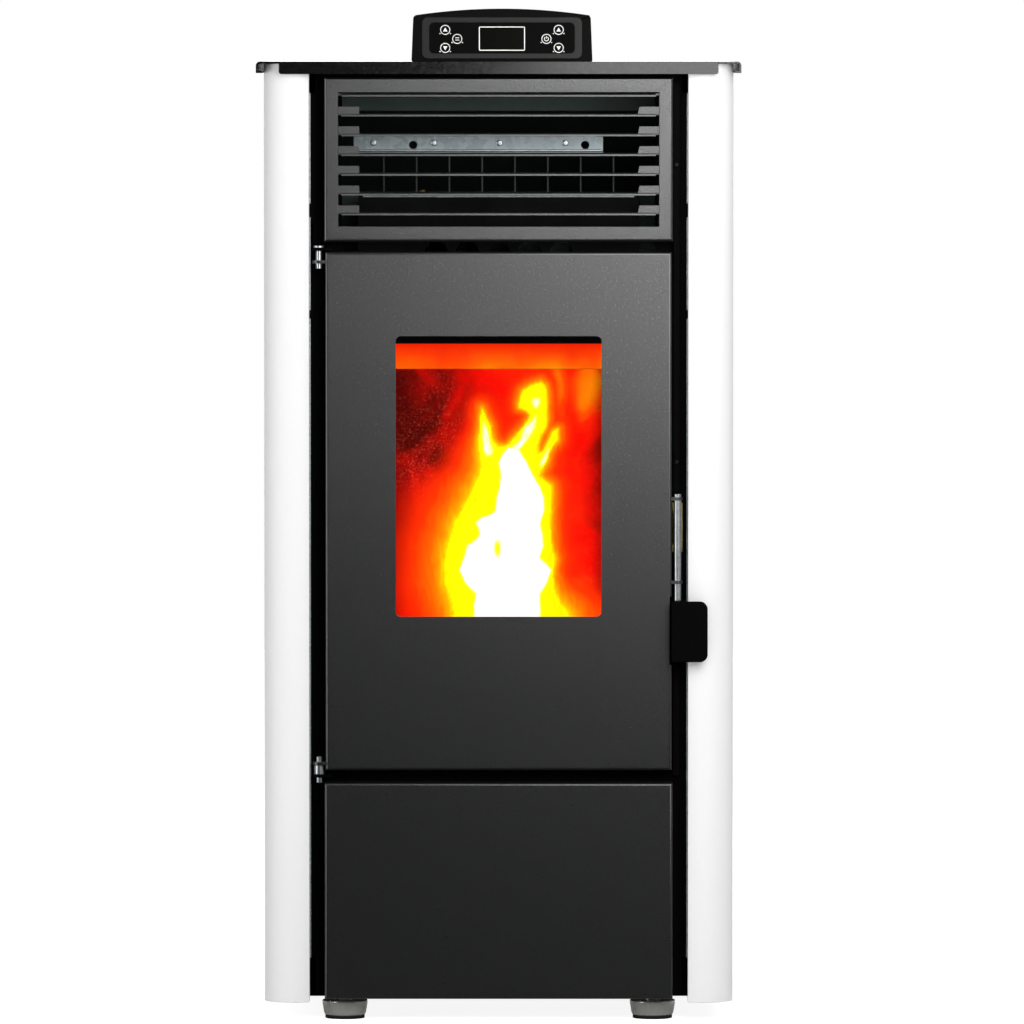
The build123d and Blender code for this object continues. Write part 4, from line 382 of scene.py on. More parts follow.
# Each finish by its record slot or its own name: what it is and how it was made, its recipe and its numbers.
# Grains, patches and depths are in millimetres. A grain finer than a pixel is drawn as coarse as it needs to show.
FINISHES = {
    # Folded sheet with a structure coat: matt, its 1 mm grain coarse enough to sparkle in the light
    "anthracite_powder_coat": ("textured anthracite powder coat", powder_coat, dict(
        colour="#0a0b0c", grain=1.9, roughness=0.315, depth=0.19, specular=1.0, mottle=0.35)),
    # Folded side panels: nearly smooth, with a faint orange peel
    "white_powder_coat": ("white satin powder coat", powder_coat, dict(
        colour="#e6e6e6", grain=3.0, roughness=0.55, depth=0.012, specular=0.2, mottle=0.006)),
    # Handle, inner frame and rear sheets: dark and dry. On the rear sheets the black also stands in for the shade
    # inside the casing: painted shade
    "black_powder_coat": ("matt black powder coat", powder_coat, dict(
        colour="#040404", grain=1.6, roughness=0.62, depth=0.03, specular=0.03, mottle=0.1)),
    # Top plate and lid: smooth enough to mirror broad light
    "satin_black_powder_coat": ("satin black powder coat", powder_coat, dict(
        colour="#050505", grain=2.4, roughness=0.17, depth=0.006, specular=0.4)),
    # Silicone paint sprayed on welded plate: dead matt
    "heat_paint": ("matt heat-resistant paint with soot", sooty_paint, {}),
    # Painted shade on the rails in the side gaps: black but for their bare cut edge, which shines as a thin bright
    # line
    "painted_rail": ("black paint on galvanised rail", painted_rail, {}),
    # Hot-dip galvanised sheet: zinc crystals about 5 mm across, each turning the light its own way
    "galvanised_sheet": ("galvanised sheet", metal, dict(
        dark="#687072", light="#7a8284", patch=5.0, roughness=0.42, spread=0.05, spangled=True)),
    # The hopper's sheet, darkened to a green-grey as painted shade inside the casing
    "dusty_galvanised_sheet": ("galvanised sheet under wood dust", metal, dict(
        dark="#444d4a", light="#535d5a", patch=40.0, roughness=0.6, spread=0.05)),
    # Drawn wire of the outlet guard, darker than its bracket
    "heat_darkened_wire": ("heat-darkened steel wire", metal, dict(
        dark="#343433", light="#40403e", patch=3.0, roughness=0.5, spread=0.05)),
    # Chemically blackened screws of the stop strip: dark and a little oily
    "black_oxide_steel": ("black-oxide steel", metal, dict(
        dark="#161616", light="#262626", patch=3.0, roughness=0.45, spread=0.05)),
    # Electroplated pins and screws: pale, slightly blue and fairly glossy
    "zinc_plated_steel": ("bright zinc plating", metal, dict(
        dark="#9a9fa2", light="#bcc0c1", patch=4.0, roughness=0.32, spread=0.06)),
    # Passivated zinc on pressed brackets: olive gold
    "yellow_zinc_steel": ("yellow passivated zinc", metal, dict(
        dark="#847a4c", light="#c0ac6c", patch=5.0, roughness=0.38, spread=0.07)),
    # Mild steel as it left the mill, with fine rolling lines
    "plain_steel": ("cold-rolled steel", metal, dict(
        dark="#7d7d7e", light="#a3a3a3", patch=30.0, roughness=0.42, spread=0.06, brushed=(0.05, 1.0, 1.0))),
    # The feet, with the lathe's fine rings round them
    "foot_steel": ("turned stainless steel", metal, dict(
        dark="#b4b4b0", light="#c9c9c4", patch=30.0, roughness=0.22, spread=0.03, brushed=(0.03, 0.03, 1.2),
        bare=0.72)),
    # The motor cases: dull, with a fine cast skin
    "motor_case": ("die-cast aluminium", metal, dict(
        dark="#8d9092", light="#b3b6b7", patch=2.0, roughness=0.5, spread=0.06)),
    # The burn pot
    "cast_iron": ("burnt cast iron", burnt_iron, {}),
    # Pressed board behind the fire, and over it, with the fire's light painted on as emission
    "vermiculite_board": ("vermiculite board in the fire's glow", glowing_vermiculite, {}),
    "glowing_baffle": ("vermiculite baffle in the fire's glow", glowing_baffle, {}),
    # The fire itself, the pellets that burn and those that wait: red to white, yellow to red, and pale brown
    "flame": ("flame of burning wood gas", flame, {}),
    "embers": ("glowing charcoal", embers, {}),
    "wood_pellet": ("pressed wood pellets", sawdust, {}),
    # Rolled and polished window, with a slight smoky tint
    "ceramic_glass": ("clear glass ceramic", clear_glass, {}),
    # Rope and tape of the seals: soft and quite without gloss
    "glass_fibre": ("knitted glass fibre", knitted_fibre, {}),
    # Control housing, eroded fine and half matt, and its satin bezel, a little lighter
    "black_plastic": ("moulded black ABS", moulded, dict(
        colour="#040403", grain=0.8, roughness=0.5, depth=0.02, specular=0.05)),
    "fascia_plastic": ("satin dark grey ABS", moulded, dict(
        colour="#101010", grain=0.8, roughness=0.36, depth=0.01, specular=0.2)),
    # Film behind the keys: smooth and half matt
    "fascia_film": ("black polyester film", moulded, dict(
        colour="#020202", grain=1.2, roughness=0.5, depth=0.004, specular=0.04)),
    # Window over the display: polished black
    "display_acrylic": ("smoked acrylic", moulded, dict(
        colour="#060603", grain=30.0, roughness=0.16, depth=0.002, specular=0.03)),
    # Keys: black and matt
    "key_plastic": ("black silicone rubber", moulded, dict(
        colour="#040404", grain=0.7, roughness=0.6, depth=0.02, specular=0.06)),
    # Pads under the feet: dusty
    "foot_rubber": ("moulded rubber", moulded, dict(
        colour="#161616", grain=1.5, roughness=0.8, depth=0.05, specular=0.3)),
    # Power inlet and its switch
    "inlet_plastic": ("black nylon", moulded, dict(colour="#141414", grain=1.0, roughness=0.5, depth=0.02)),
    # Glass-epoxy board, etched and lacquered
    "circuit_board": ("green solder resist over copper", resist_over_tracks, {}),
    # Rings and symbols, flat and opaque, with a faint painted glow
    "white_print": ("white screen-printing ink", printed_ink, {}),
}


# ---------------------------------------------------------------- meshes

SHARP = 38  # degrees between two faces past which their edge stays sharp


def settle(piece):
    """Turns a piece's modifiers into plain mesh."""
    graph = bpy.context.evaluated_depsgraph_get()
    graph.update()
    mesh = bpy.data.meshes.new_from_object(piece.evaluated_get(graph), preserve_all_data_layers=True, depsgraph=graph)
    piece.modifiers.clear()
    piece.data = mesh


def soften(piece, edge, segments=2):
    """Rounds a piece's sharp edges by so many millimetres, and shades the faces between them flat."""
    if edge:
        bevel = piece.modifiers.new("edge radius", "BEVEL")
        bevel.width = edge * MM
        bevel.segments = segments
        bevel.limit_method = "ANGLE"
        bevel.angle_limit = radians(35)
        bevel.use_clamp_overlap = True
    weighted = piece.modifiers.new("flat faces", "WEIGHTED_NORMAL")
    weighted.weight = 80
    weighted.keep_sharp = True
    settle(piece)


def made(name, bm, finish, sharp=SHARP, outward=True):
    """Makes a bmesh in millimetres into an object with its finish, its faces turned outwards if they aren't yet."""
    if outward:
        bmesh.ops.recalc_face_normals(bm, faces=bm.faces)
    bmesh.ops.scale(bm, vec=(MM, MM, MM), verts=bm.verts)
    mesh = bpy.data.meshes.new(name)
    bm.to_mesh(mesh)
    bm.free()
    mesh.shade_smooth()
    mesh.set_sharp_from_angle(angle=radians(sharp))
    mesh.materials.append(finish_of(finish))
    piece = bpy.data.objects.new(name, mesh)
    bpy.context.collection.objects.link(piece)
    return piece


def ride(piece, body, replaces=()):
    """Puts a piece on its body and hides the CAD nodes that it stands for."""
    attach(piece, body)
    if replaces:
        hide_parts(*replaces)
    return piece


def place(name, bm, finish, body="stove", edge=0.0, sharp=SHARP, replaces=()):
    """Makes a bmesh in millimetres into a finished piece on a body."""
    piece = made(name, bm, finish, sharp)
    soften(piece, edge)
    return ride(piece, body, replaces)


def merged(node):
    """A welded copy of a CAD node's mesh, in millimetres, with its flat faces joined up."""
    bm = bmesh.new()
    bm.from_mesh(frame["nodes"][node].data)
    bmesh.ops.scale(bm, vec=(1 / MM,) * 3, verts=bm.verts)
    bmesh.ops.remove_doubles(bm, verts=bm.verts, dist=0.002)
    bmesh.ops.dissolve_limit(bm, angle_limit=radians(0.2), verts=bm.verts, edges=bm.edges, delimit={"NORMAL"})
    return bm


def dressed(node, edge, finish=None, segments=2, bm=None):
    """A CAD node's copy, or an edited one, with the edge radius and finish of the real piece."""
    slot = SLOT_OF[node]
    piece = made(f"{node}_finished", merged(node) if bm is None else bm, finish or slot, outward=False)
    soften(piece, edge, segments)
    return ride(piece, BODY_OF[node], (node,))


def coat(*nodes):
    """Gives CAD nodes the finish of their record slots."""
    for node in nodes:
        materials = frame["nodes"][node].data.materials
        materials.clear()
        materials.append(finish_of(SLOT_OF[node]))


def cut(piece, cutter):
    """Cuts a bmesh's solids, in millimetres, out of a piece."""
    tool = made("cutter", cutter, "fascia_film")
    openings = piece.modifiers.new("openings", "BOOLEAN")
    openings.operation = "DIFFERENCE"
    openings.solver = "EXACT"
    openings.object = tool
    settle(piece)
    piece.data.set_sharp_from_angle(angle=radians(SHARP))
    bpy.data.objects.remove(tool)


def box_mm(node):
    """The lowest and the highest corner of a CAD node, in millimetres."""
    return [[c / MM for c in corner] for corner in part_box(node)]


def plane(origin, across, up):
    """The place and turn of a drawing, whose x runs across and whose y runs up. It rises along their cross product."""
    return Matrix.Translation(origin) @ Matrix((across, up, across.cross(up))).transposed().to_4x4()


def arc(radius, start, end, steps, centre=(0, 0)):
    """Points along an arc, its angles in degrees."""
    angles = [radians(start + (end - start) * i / steps) for i in range(steps + 1)]
    return [(centre[0] + radius * cos(a), centre[1] + radius * sin(a)) for a in angles]


def circle(radius, steps, centre=(0, 0)):
    """A circle's outline, counter-clockwise."""
    return arc(radius, 0, 360, steps, centre)[:-1]


def rounded(half_x, half_y, radius, steps=6, middle_y=0.0):
    """A rounded rectangle's outline, counter-clockwise."""
    x, y = half_x - radius, half_y - radius
    corners = ((x, y), (-x, y), (-x, -y), (x, -y))
    return [point for i, (cx, cy) in enumerate(corners)
            for point in arc(radius, 90 * i, 90 * i + 90, steps, (cx, cy + middle_y))]


def band_into(bm, low, high):
    """Joins two closed rings of as many vertices with faces. A ring that repeats one vertex is a pole."""
    for i in range(len(low)):
        bm.faces.new(list(dict.fromkeys((low[i - 1], low[i], high[i], high[i - 1]))))


def extrude_into(bm, outline, thickness, at):
    """Adds a plate of an outline drawn on a plane, raised by a thickness."""
    low, high = ([bm.verts.new(at @ Vector((x, y, z))) for x, y in outline] for z in (0, thickness))
    bm.faces.new(low)
    bm.faces.new(high)
    band_into(bm, low, high)


def turn_into(bm, profile, at, steps=64):
    """Adds a closed body turned round a plane's normal, from a profile of radius and height pairs."""
    rings = []
    for radius, height in profile:
        points = circle(radius, steps) if radius else [(0, 0)]
        ring = [bm.verts.new(at @ Vector((x, y, height))) for x, y in points]
        rings.append(ring if radius else ring * steps)
    for low, high in zip(rings, rings[1:]):
        band_into(bm, low, high)
    for (radius, _), ring in ((profile[0], rings[0]), (profile[-1], rings[-1])):
        if radius:
            bm.faces.new(ring)


def stroke_into(bm, points, width, thickness, at, closed=False):
    """Adds a printed line of even width along points on a plane, as a thin raised strip with mitred corners."""
    spots = [Vector(point) for point in points]
    ways = [(after - spot).normalized() for spot, after in zip(spots, spots[1:] + spots[:1])]
    sections = []
    for i, (spot, way) in enumerate(zip(spots, ways)):
        before = ways[i - 1] if closed or i else way
        after = way if closed or i < len(spots) - 1 else before
        middle = (before + after).normalized()
        reach = Vector((-middle.y, middle.x)) * (width / 2 / max(0.4, middle.dot(before)))
        sections.append([bm.verts.new(at @ Vector((*(spot + reach * side), z)))
                         for side, z in ((1, 0), (1, thickness), (-1, thickness), (-1, 0))])
    for i in range(0 if closed else 1, len(sections)):
        band_into(bm, sections[i - 1], sections[i])
    if not closed:
        bm.faces.new(sections[0])
        bm.faces.new(sections[-1])


# ---------------------------------------------------------------- geometry node trees

def in_a_row(add, given):
    """Copies of the geometry itself in a straight row."""
    row = add("GeometryNodeMeshLine", {"Count": given["Count"], "Offset": given["Step"]})
    return add("GeometryNodeInstanceOnPoints", {"Points": row, "Instance": given["Geometry"]})


def scattered(add, given):
    """Copies of a pellet all over a surface, spaced apart, and tilted, turned and scaled from fixed seeds."""
    points = add("GeometryNodeDistributePointsOnFaces", {
        "Mesh": given["Geometry"], "Distance Min": given["Spacing"], "Density Max": given["Density"],
        "Seed": given["Seed"]}, distribute_method="POISSON")
    pellet = add("GeometryNodeObjectInfo", {"Object": given["Pellet"]})
    down = add("ShaderNodeMath", {0: given["Tilt"], 1: -1.0}, operation="MULTIPLY")
    lowest = add("ShaderNodeCombineXYZ", {"X": down, "Y": down})
    highest = add("ShaderNodeCombineXYZ", {"X": given["Tilt"], "Y": given["Tilt"], "Z": 2 * pi})
    turn = add("FunctionNodeRandomValue", {"Min": lowest, "Max": highest, "Seed": 3}, data_type="FLOAT_VECTOR")
    size = add("FunctionNodeRandomValue", {"Min": 0.75, "Max": 1.15, "Seed": 5}, data_type="FLOAT")
    return add("GeometryNodeInstanceOnPoints", {
        "Points": points, "Instance": pellet.outputs["Geometry"], "Rotation": turn, "Scale": size})


def on_points(add, given):
    """A turned copy of a screw on every point."""
    screw = add("GeometryNodeObjectInfo", {"Object": given["Screw"]})
    return add("GeometryNodeInstanceOnPoints", {
        "Points": given["Geometry"], "Instance": screw.outputs["Geometry"], "Rotation": given["Turn"]})


# Each rule's tree: its name, and its inputs besides the geometry and the material
TREES = {
    in_a_row: ("repeat in a row", {"Count": "Int", "Step": "Vector"}),
    scattered: ("scatter on a heap", {
        "Pellet": "Object", "Spacing": "Float", "Density": "Float", "Seed": "Int", "Tilt": "Float"}),
    on_points: ("screws on points", {"Screw": "Object", "Turn": "Vector"}),
}


@cache
def tree_of(rule):
    """The tree of a rule, made once. It turns the rule's copies to plain mesh and gives them their material."""
    name, inputs = TREES[rule]
    tree = bpy.data.node_groups.new(name, "GeometryNodeTree")
    for key, kind in {"Geometry": "Geometry", **inputs, "Material": "Material"}.items():
        tree.interface.new_socket(key, in_out="INPUT", socket_type=f"NodeSocket{kind}")
    tree.interface.new_socket("Geometry", in_out="OUTPUT", socket_type="NodeSocketGeometry")
    given = add_node(tree, "NodeGroupInput").outputs
    copies = rule(partial(add_node, tree), given)
    real = add_node(tree, "GeometryNodeRealizeInstances", {"Geometry": copies})
    finished = add_node(tree, "GeometryNodeSetMaterial", {"Geometry": real, "Material": given["Material"]})
    add_node(tree, "NodeGroupOutput", {"Geometry": finished})
    return tree


def grow(piece, rule, **values):
    """Runs a rule's tree on a piece with its named inputs set, and keeps the plain mesh."""
    modifier = piece.modifiers.new("rule", "NODES")
    modifier.node_group = tree_of(rule)
    values["Material"] = piece.data.materials[0]
    for item in modifier.node_group.interface.items_tree:
        if item.in_out == "INPUT" and item.name in values:
            modifier[item.identifier] = values[item.name]
    settle(piece)


# ---------------------------------------------------------------- sizes and colours a user may change

class StoveCasing(bpy.types.PropertyGroup):
    sheet_edge: FloatProperty(name="Sheet edge radius", description="Rounding of folded and cut sheet edges",
                              default=0.0005, min=0.0001, max=0.0015, unit="LENGTH", precision=5)
    fin_count: IntProperty(name="Grille fins", description="Number of fins in the warm-air grille",
                           default=7, min=2, max=12)
    fin_pitch: FloatProperty(name="Fin pitch", description="Distance from fin to fin",
                             default=0.0189, min=0.008, max=0.04, unit="LENGTH", precision=5)
    fin_top: FloatProperty(name="Top fin height", description="Height of the top fin's upper face",
                           default=0.8896, min=0.6, max=1, unit="LENGTH", precision=5)
    tab_length: FloatProperty(name="Tab length", description="Length of the tabs at the ends of the fins",
                              default=0.0205, min=0.005, max=0.06, unit="LENGTH", precision=5)


class StoveFire(bpy.types.PropertyGroup):
    reach: FloatProperty(name="Glow reach", description="How far the orange fades out round the flame",
                         default=0.013, min=0.001, max=0.04, unit="LENGTH", precision=5)
    depth: FloatProperty(name="Flame depth", description="Half the thickness of the flame from front to back",
                         default=0.014, min=0.002, max=0.03, unit="LENGTH", precision=5)
    cell: FloatProperty(name="Flame mesh size", description="Size of one face of the flame's mesh",
                        default=0.0015, min=0.001, max=0.006, unit="LENGTH", precision=5)
    pellet_radius: FloatProperty(name="Pellet radius", description="Radius of a wood pellet",
                                 default=0.003, min=0.002, max=0.005, unit="LENGTH", precision=5)
    pellet_seed: IntProperty(name="Pellet seed", description="Picks another fixed lay of the pellets",
                             default=4, min=0)


class StoveControls(bpy.types.PropertyGroup):
    ring_radius: FloatProperty(name="Key ring radius", description="Radius of the rim inside which a key's ring is "
                               "printed", default=0.00475, min=0.002, max=0.006, unit="LENGTH", precision=5)
    line: FloatProperty(name="Print width", description="Width of the lines printed on the keys",
                        default=0.0006, min=0.0002, max=0.002, unit="LENGTH", precision=5)
    frame_line: FloatProperty(name="Display frame", description="Width of the display's printed outline",
                              default=0.0008, min=0.0002, max=0.003, unit="LENGTH", precision=5)


class StoveStage(bpy.types.PropertyGroup):
    camera_distance: FloatProperty(name="Camera distance", description="Camera to the stove's front",
                                   default=10.0, min=2, unit="LENGTH")
    camera_height: FloatProperty(name="Camera height", description="Height of the camera",
                                 default=0.93, min=0.1, unit="LENGTH")
    high_lamp: FloatProperty(name="High lamp", description="Power of the lamp high in front",
                             default=34.0, min=0, unit="POWER")
    side_lamp: FloatProperty(name="Side lamps", description="Power of the left lamp, of which the right and the rear "
                             "one have a share", default=21.0, min=0, unit="POWER")
    floor_colour: FloatVectorProperty(name="Floor colour", description="Colour of the floor",
                                      subtype="COLOR", default=(0.8, 0.8, 0.8), min=0, max=1)


# ---------------------------------------------------------------- operators

class STOVE_OT_casing(bpy.types.Operator):
    """Gives the casing's folded sheets their edge radii and coats"""
    bl_idname = "stove.casing"
    bl_label = "Casing"

    def execute(self, context):
        edge = context.scene.stove_casing.sheet_edge / MM
        for node in ("side_panel_left", "side_panel_right", "lower_front_panel"):
            dressed(node, edge, segments=3)
        for node in ("top_plate", "hopper_lid"):
            dressed(node, edge, "satin_black_powder_coat", segments=3)
        # The rails are drawn black as painted shade, but for their bare cut edge
        dressed("panel_rails", edge * 0.3, "painted_rail")
        # On the back panel and base plate the black is partly painted shade of the casing's inside
        for node in ("front_frame", "back_panel", "base_plate", "door_hinge_brackets", "hinge_pins", "latch_strike"):
            dressed(node, edge * 0.5)
        return {"FINISHED"}


class STOVE_OT_grille(bpy.types.Operator):
    """Builds the warm-air grille: a folded panel with a row of bent fins under their end tabs"""
    bl_idname = "stove.grille"
    bl_label = "Warm-air grille"

    def execute(self, context):
        sizes = context.scene.stove_casing
        count, pitch, fin_top = sizes.fin_count, sizes.fin_pitch / MM, sizes.fin_top / MM
        (_, front, bottom), (half, back, top) = box_mm("front_grille")
        coating = "anthracite_powder_coat"
        sheet, fold = 2.0, 3.0  # its thickness, and the outer radius of its folds
        field_half = half - 13.5
        field_top = fin_top + 1.0
        field_bottom = field_top - count * pitch + 4.0
        # The panel as rings of its section: the field's edge, over the face and round the fold to the back, and
        # forward again inside
        section = [*arc(fold, 270, 180, 4, (fold, fold)), (0, back - front), (sheet, back - front),
                   *arc(fold - sheet, 180, 270, 4, (fold, fold))]
        limits = [(field_half, field_bottom, field_top, sheet), (field_half, field_bottom, field_top, 0)]
        limits += [(half - inset, bottom + inset, top - inset, depth) for inset, depth in section]
        bm = bmesh.new()
        rings = [[bm.verts.new((x, front + depth, z))
                  for x, z in ((-side, low), (side, low), (side, high), (-side, high))]
                 for side, low, high, depth in limits]
        for i in range(len(rings)):
            band_into(bm, rings[i - 1], rings[i])
        place("grille_panel", bm, coating, edge=sizes.sheet_edge / MM * 0.7, replaces=("front_grille",))

        # Each row hangs from its topmost piece, drawn from the front of the panel and the top fin's upper face
        fin_half, bend, lip, depth = field_half - 3.0, 2.3, 3.3, 11.8
        fin = bmesh.new()
        profile = [(0, -lip), *arc(bend, 180, 90, 4, (bend, -bend)), (depth, 0), (depth, -sheet),
                   (sheet + 0.9, -sheet), (sheet, -sheet - 0.9), (sheet, -lip)]
        extrude_into(fin, profile, 2 * fin_half, plane((-fin_half, front, fin_top), Y, Z))
        # The fins but the first have tabs above their ends, from which they are bent
        tabs = bmesh.new()
        for side, slant in ((-1, 0.5), (1, 1.6)):
            outer, inner = side * field_half, side * (field_half - sizes.tab_length / MM)
            extrude_into(tabs, [(outer, -1), (inner, -1), (inner + side * slant, 6.4), (outer, 6.4)], sheet,
                         plane((0, front + sheet, fin_top - pitch), X, Z))
        # Webs join the fins' ends to the panel's sides
        roots = bmesh.new()
        root_start, root_end = fin_half - 0.5, half - 1
        for x in (-root_end, root_start):
            extrude_into(roots, [(2.2, -sheet), (12, -sheet), (12, 0), (2.2, 0)], root_end - root_start,
                         plane((x, front, fin_top), Y, Z))
        for name, bm, copies, edge in (("grille_fins", fin, count, 0.25), ("grille_end_tabs", tabs, count - 1, 0.3),
                                       ("grille_fin_roots", roots, count, 0.2)):
            row = made(name, bm, coating)
            soften(row, edge)
            grow(row, in_a_row, Count=copies, Step=(0, 0, -pitch * MM))
            ride(row, "stove")
        return {"FINISHED"}


class STOVE_OT_outlet_guard(bpy.types.Operator):
    """Builds the galvanised bracket and the upright wires behind the grille"""
    bl_idname = "stove.outlet_guard"
    bl_label = "Air outlet guard"

    def execute(self, context):
        guard = dressed("air_outlet_guard", 0.2)
        # The wires, between the foot plate and the bar under the bracket, are darker than the bracket
        guard.data.materials.append(finish_of("heat_darkened_wire"))
        wires_low, wires_high = box_mm("air_outlet_guard")[0][2] + 5, 831
        for face in guard.data.polygons:
            if wires_low < face.center.z / MM < wires_high:
                face.material_index = 1
        # The bracket's lower edge is rolled into a bright hem
        radius, length = 1.1, 238.2
        bm = bmesh.new()
        turn_into(bm, [(0, 0), (radius * 0.7, 0), (radius, 0.4), (radius, length - 0.4), (radius * 0.7, length),
                       (0, length)], Matrix.Translation((-138.6, -199.6, 834.6)) @ ALONG_X, 16)
        place("outlet_bracket_hem", bm, "zinc_plated_steel")
        return {"FINISHED"}


class STOVE_OT_door(bpy.types.Operator):
    """Finishes the fire door: skin, frame, glass, seals, clips, handle and latch"""
    bl_idname = "stove.door"
    bl_label = "Fire door"

    def execute(self, context):
        for node in ("door_panel", "door_handle"):
            dressed(node, context.scene.stove_casing.sheet_edge / MM, segments=3)
        for node, edge in (("door_frame", 0.4), ("latch_rod", 0.4), ("glass_clips", 0.3), ("door_glass", 0.5)):
            dressed(node, edge)
        coat("glass_gasket", "door_rope_seal")
        return {"FINISHED"}


class STOVE_OT_firebox(bpy.types.Operator):
    """Finishes the firebox with its liners, baffle, burn pot, drawer, igniter, exchanger, ducts and fans"""
    bl_idname = "stove.firebox"
    bl_label = "Firebox"

    def execute(self, context):
        # The back liner closes up under the baffle
        liner_top, baffle_foot = 618, 621.6
        liners = merged("firebox_liners")
        for vert in liners.verts:
            if abs(vert.co.z - liner_top) < 0.1:
                vert.co.z = baffle_foot
        dressed("firebox_liners", 0.5, bm=liners)
        # The baffle takes the fire's light as painted emission on its front edge
        dressed("baffle_plate", 0.5, "glowing_baffle")
        for node, edge in (("firebox", 0.4), ("heat_exchanger", 0.4), ("burn_pot", 0.8), ("ash_drawer", 0.3),
                           ("flue_spigot", 0.3), ("air_intake_pipe", 0.3)):
            dressed(node, edge)
        coat("igniter", "auger_tube", "auger_screw", "smoke_duct", "exhaust_fan_housing", "exhaust_fan_wheel",
             "exhaust_fan_motor", "room_blower_housing", "room_blower_wheel", "room_blower_motor", "gearmotor",
             "control_board")
        return {"FINISHED"}


# Flame shapes in millimetres across and up: the yellow flame, its white core, and the paler tongues above that
FLAME_BODY = [
    (-42, 366), (-45, 391), (-49, 403), (-53, 414), (-53, 426), (-52, 437), (-50, 449), (-46, 461), (-43, 472),
    (-36, 484), (-30, 495), (-24, 507), (-18, 519), (-17, 530), (-19, 542), (-20, 553), (-17.6, 565), (-17.6, 577),
    (-16.6, 583), (-13.7, 577), (-8, 565), (-7, 553), (-4.6, 549), (1, 545), (9, 547), (13, 552), (19, 559),
    (24, 565), (29, 572), (31, 577), (27, 581), (20, 584), (19.6, 588), (21.5, 595), (23.4, 600), (31, 605),
    (41, 608.5), (45, 605), (46, 600), (47, 588), (46.6, 577), (45.7, 565), (41, 557), (38, 548), (38, 539),
    (43, 541), (46.6, 548), (49.5, 553), (52.4, 560), (57.3, 563), (57.3, 553), (52.4, 547), (48.6, 540), (46, 531),
    (41, 522.5), (39.4, 518), (43.7, 513), (50.5, 508), (51.5, 501), (50.5, 490), (49.5, 472), (50.5, 457),
    (52.4, 445), (54.4, 437.5), (52.4, 426), (53.4, 414), (55, 403), (60, 394), (67, 385), (71, 366)]
FLAME_CORE = [
    (-23, 362), (-23, 391), (-21, 403), (-31.6, 414), (-37.4, 426), (-32.6, 437.5), (-29.7, 449), (-22, 454),
    (-17, 461), (-21, 472), (-16, 476), (-6.5, 479), (-1.7, 484), (-0.7, 495.5), (2.2, 507), (3.2, 519), (1.2, 530),
    (5, 538), (10, 544), (18.6, 542), (26.3, 530), (31, 519), (39, 507), (43, 495.5), (43, 484), (39, 472),
    (41, 461), (42, 449), (38, 437.5), (44, 432), (49.5, 426), (45.7, 414), (39, 403), (39, 391), (39, 362)]
PALE_TONGUES = [
    [(-15.7, 573), (-16, 563), (-16, 553), (-15, 542), (-12, 536), (-6.5, 537), (-4.6, 542), (-8, 552),
     (-10.4, 563)],
    [(24, 565), (20.6, 553), (10, 544), (17.7, 540), (27, 549.5), (36, 564), (37, 577.5), (33, 573)],
    [(49.5, 548), (44.7, 540), (39, 530), (40, 525), (45.7, 529), (48.6, 539)],
    [(33, 594), (31, 588), (36, 582), (41, 588), (40, 594)]]
EDGE_HEAT, LEAST_HEAT = 0.56, 0.05  # at the flame's yellow edge, and where its glow has faded out


def from_outline(x, z, outline):
    """Distance from a point to a closed outline, positive inside it."""
    inside, nearest = False, inf
    for (ax, az), (bx, bz) in zip(outline, outline[1:] + outline[:1]):
        if (az > z) != (bz > z) and x < (bx - ax) * (z - az) / (bz - az) + ax:
            inside = not inside
        share = ((x - ax) * (bx - ax) + (z - az) * (bz - az)) / ((bx - ax) ** 2 + (bz - az) ** 2)
        share = max(0.0, min(1.0, share))
        nearest = min(nearest, hypot(x - ax - share * (bx - ax), z - az - share * (bz - az)))
    return nearest if inside else -nearest


def smooth(value, low, high):
    """0 below low, 1 above high, and an even curve between."""
    share = max(0.0, min(1.0, (value - low) / (high - low)))
    return share * share * (3 - 2 * share)


def heat_at(x, z, reach):
    """Heat of the flame at a point: nearly 1 in its white core, less to its yellow edge, and falling away round it."""
    body = from_outline(x, z, FLAME_BODY)
    low = 1 - smooth(z, 500, 570)
    if body < 0:
        # The glow is wider in the lower half on the left, and at the foot on the right
        foot = 1 - smooth(z, 385, 425)
        return EDGE_HEAT * exp(body / reach / (0.75 + 1.8 * low if x < 5 else 0.7 + 0.3 * low + 1.6 * foot))
    heat = EDGE_HEAT + 0.10 * smooth(body, 0, 4 + 6 * low)
    heat = max(heat, 0.64 + 0.34 * smooth(from_outline(x, z, FLAME_CORE), -5, 1.5))
    for tongue in PALE_TONGUES:
        heat = max(heat, 0.62 + 0.28 * smooth(from_outline(x, z, tongue), -3.5, 2.6))
    # A cooler wisp of smoke stands in the core's foot
    return heat - 0.24 * exp(-((x + 1.5) / 3) ** 2 - ((z - 447) / 9) ** 2)


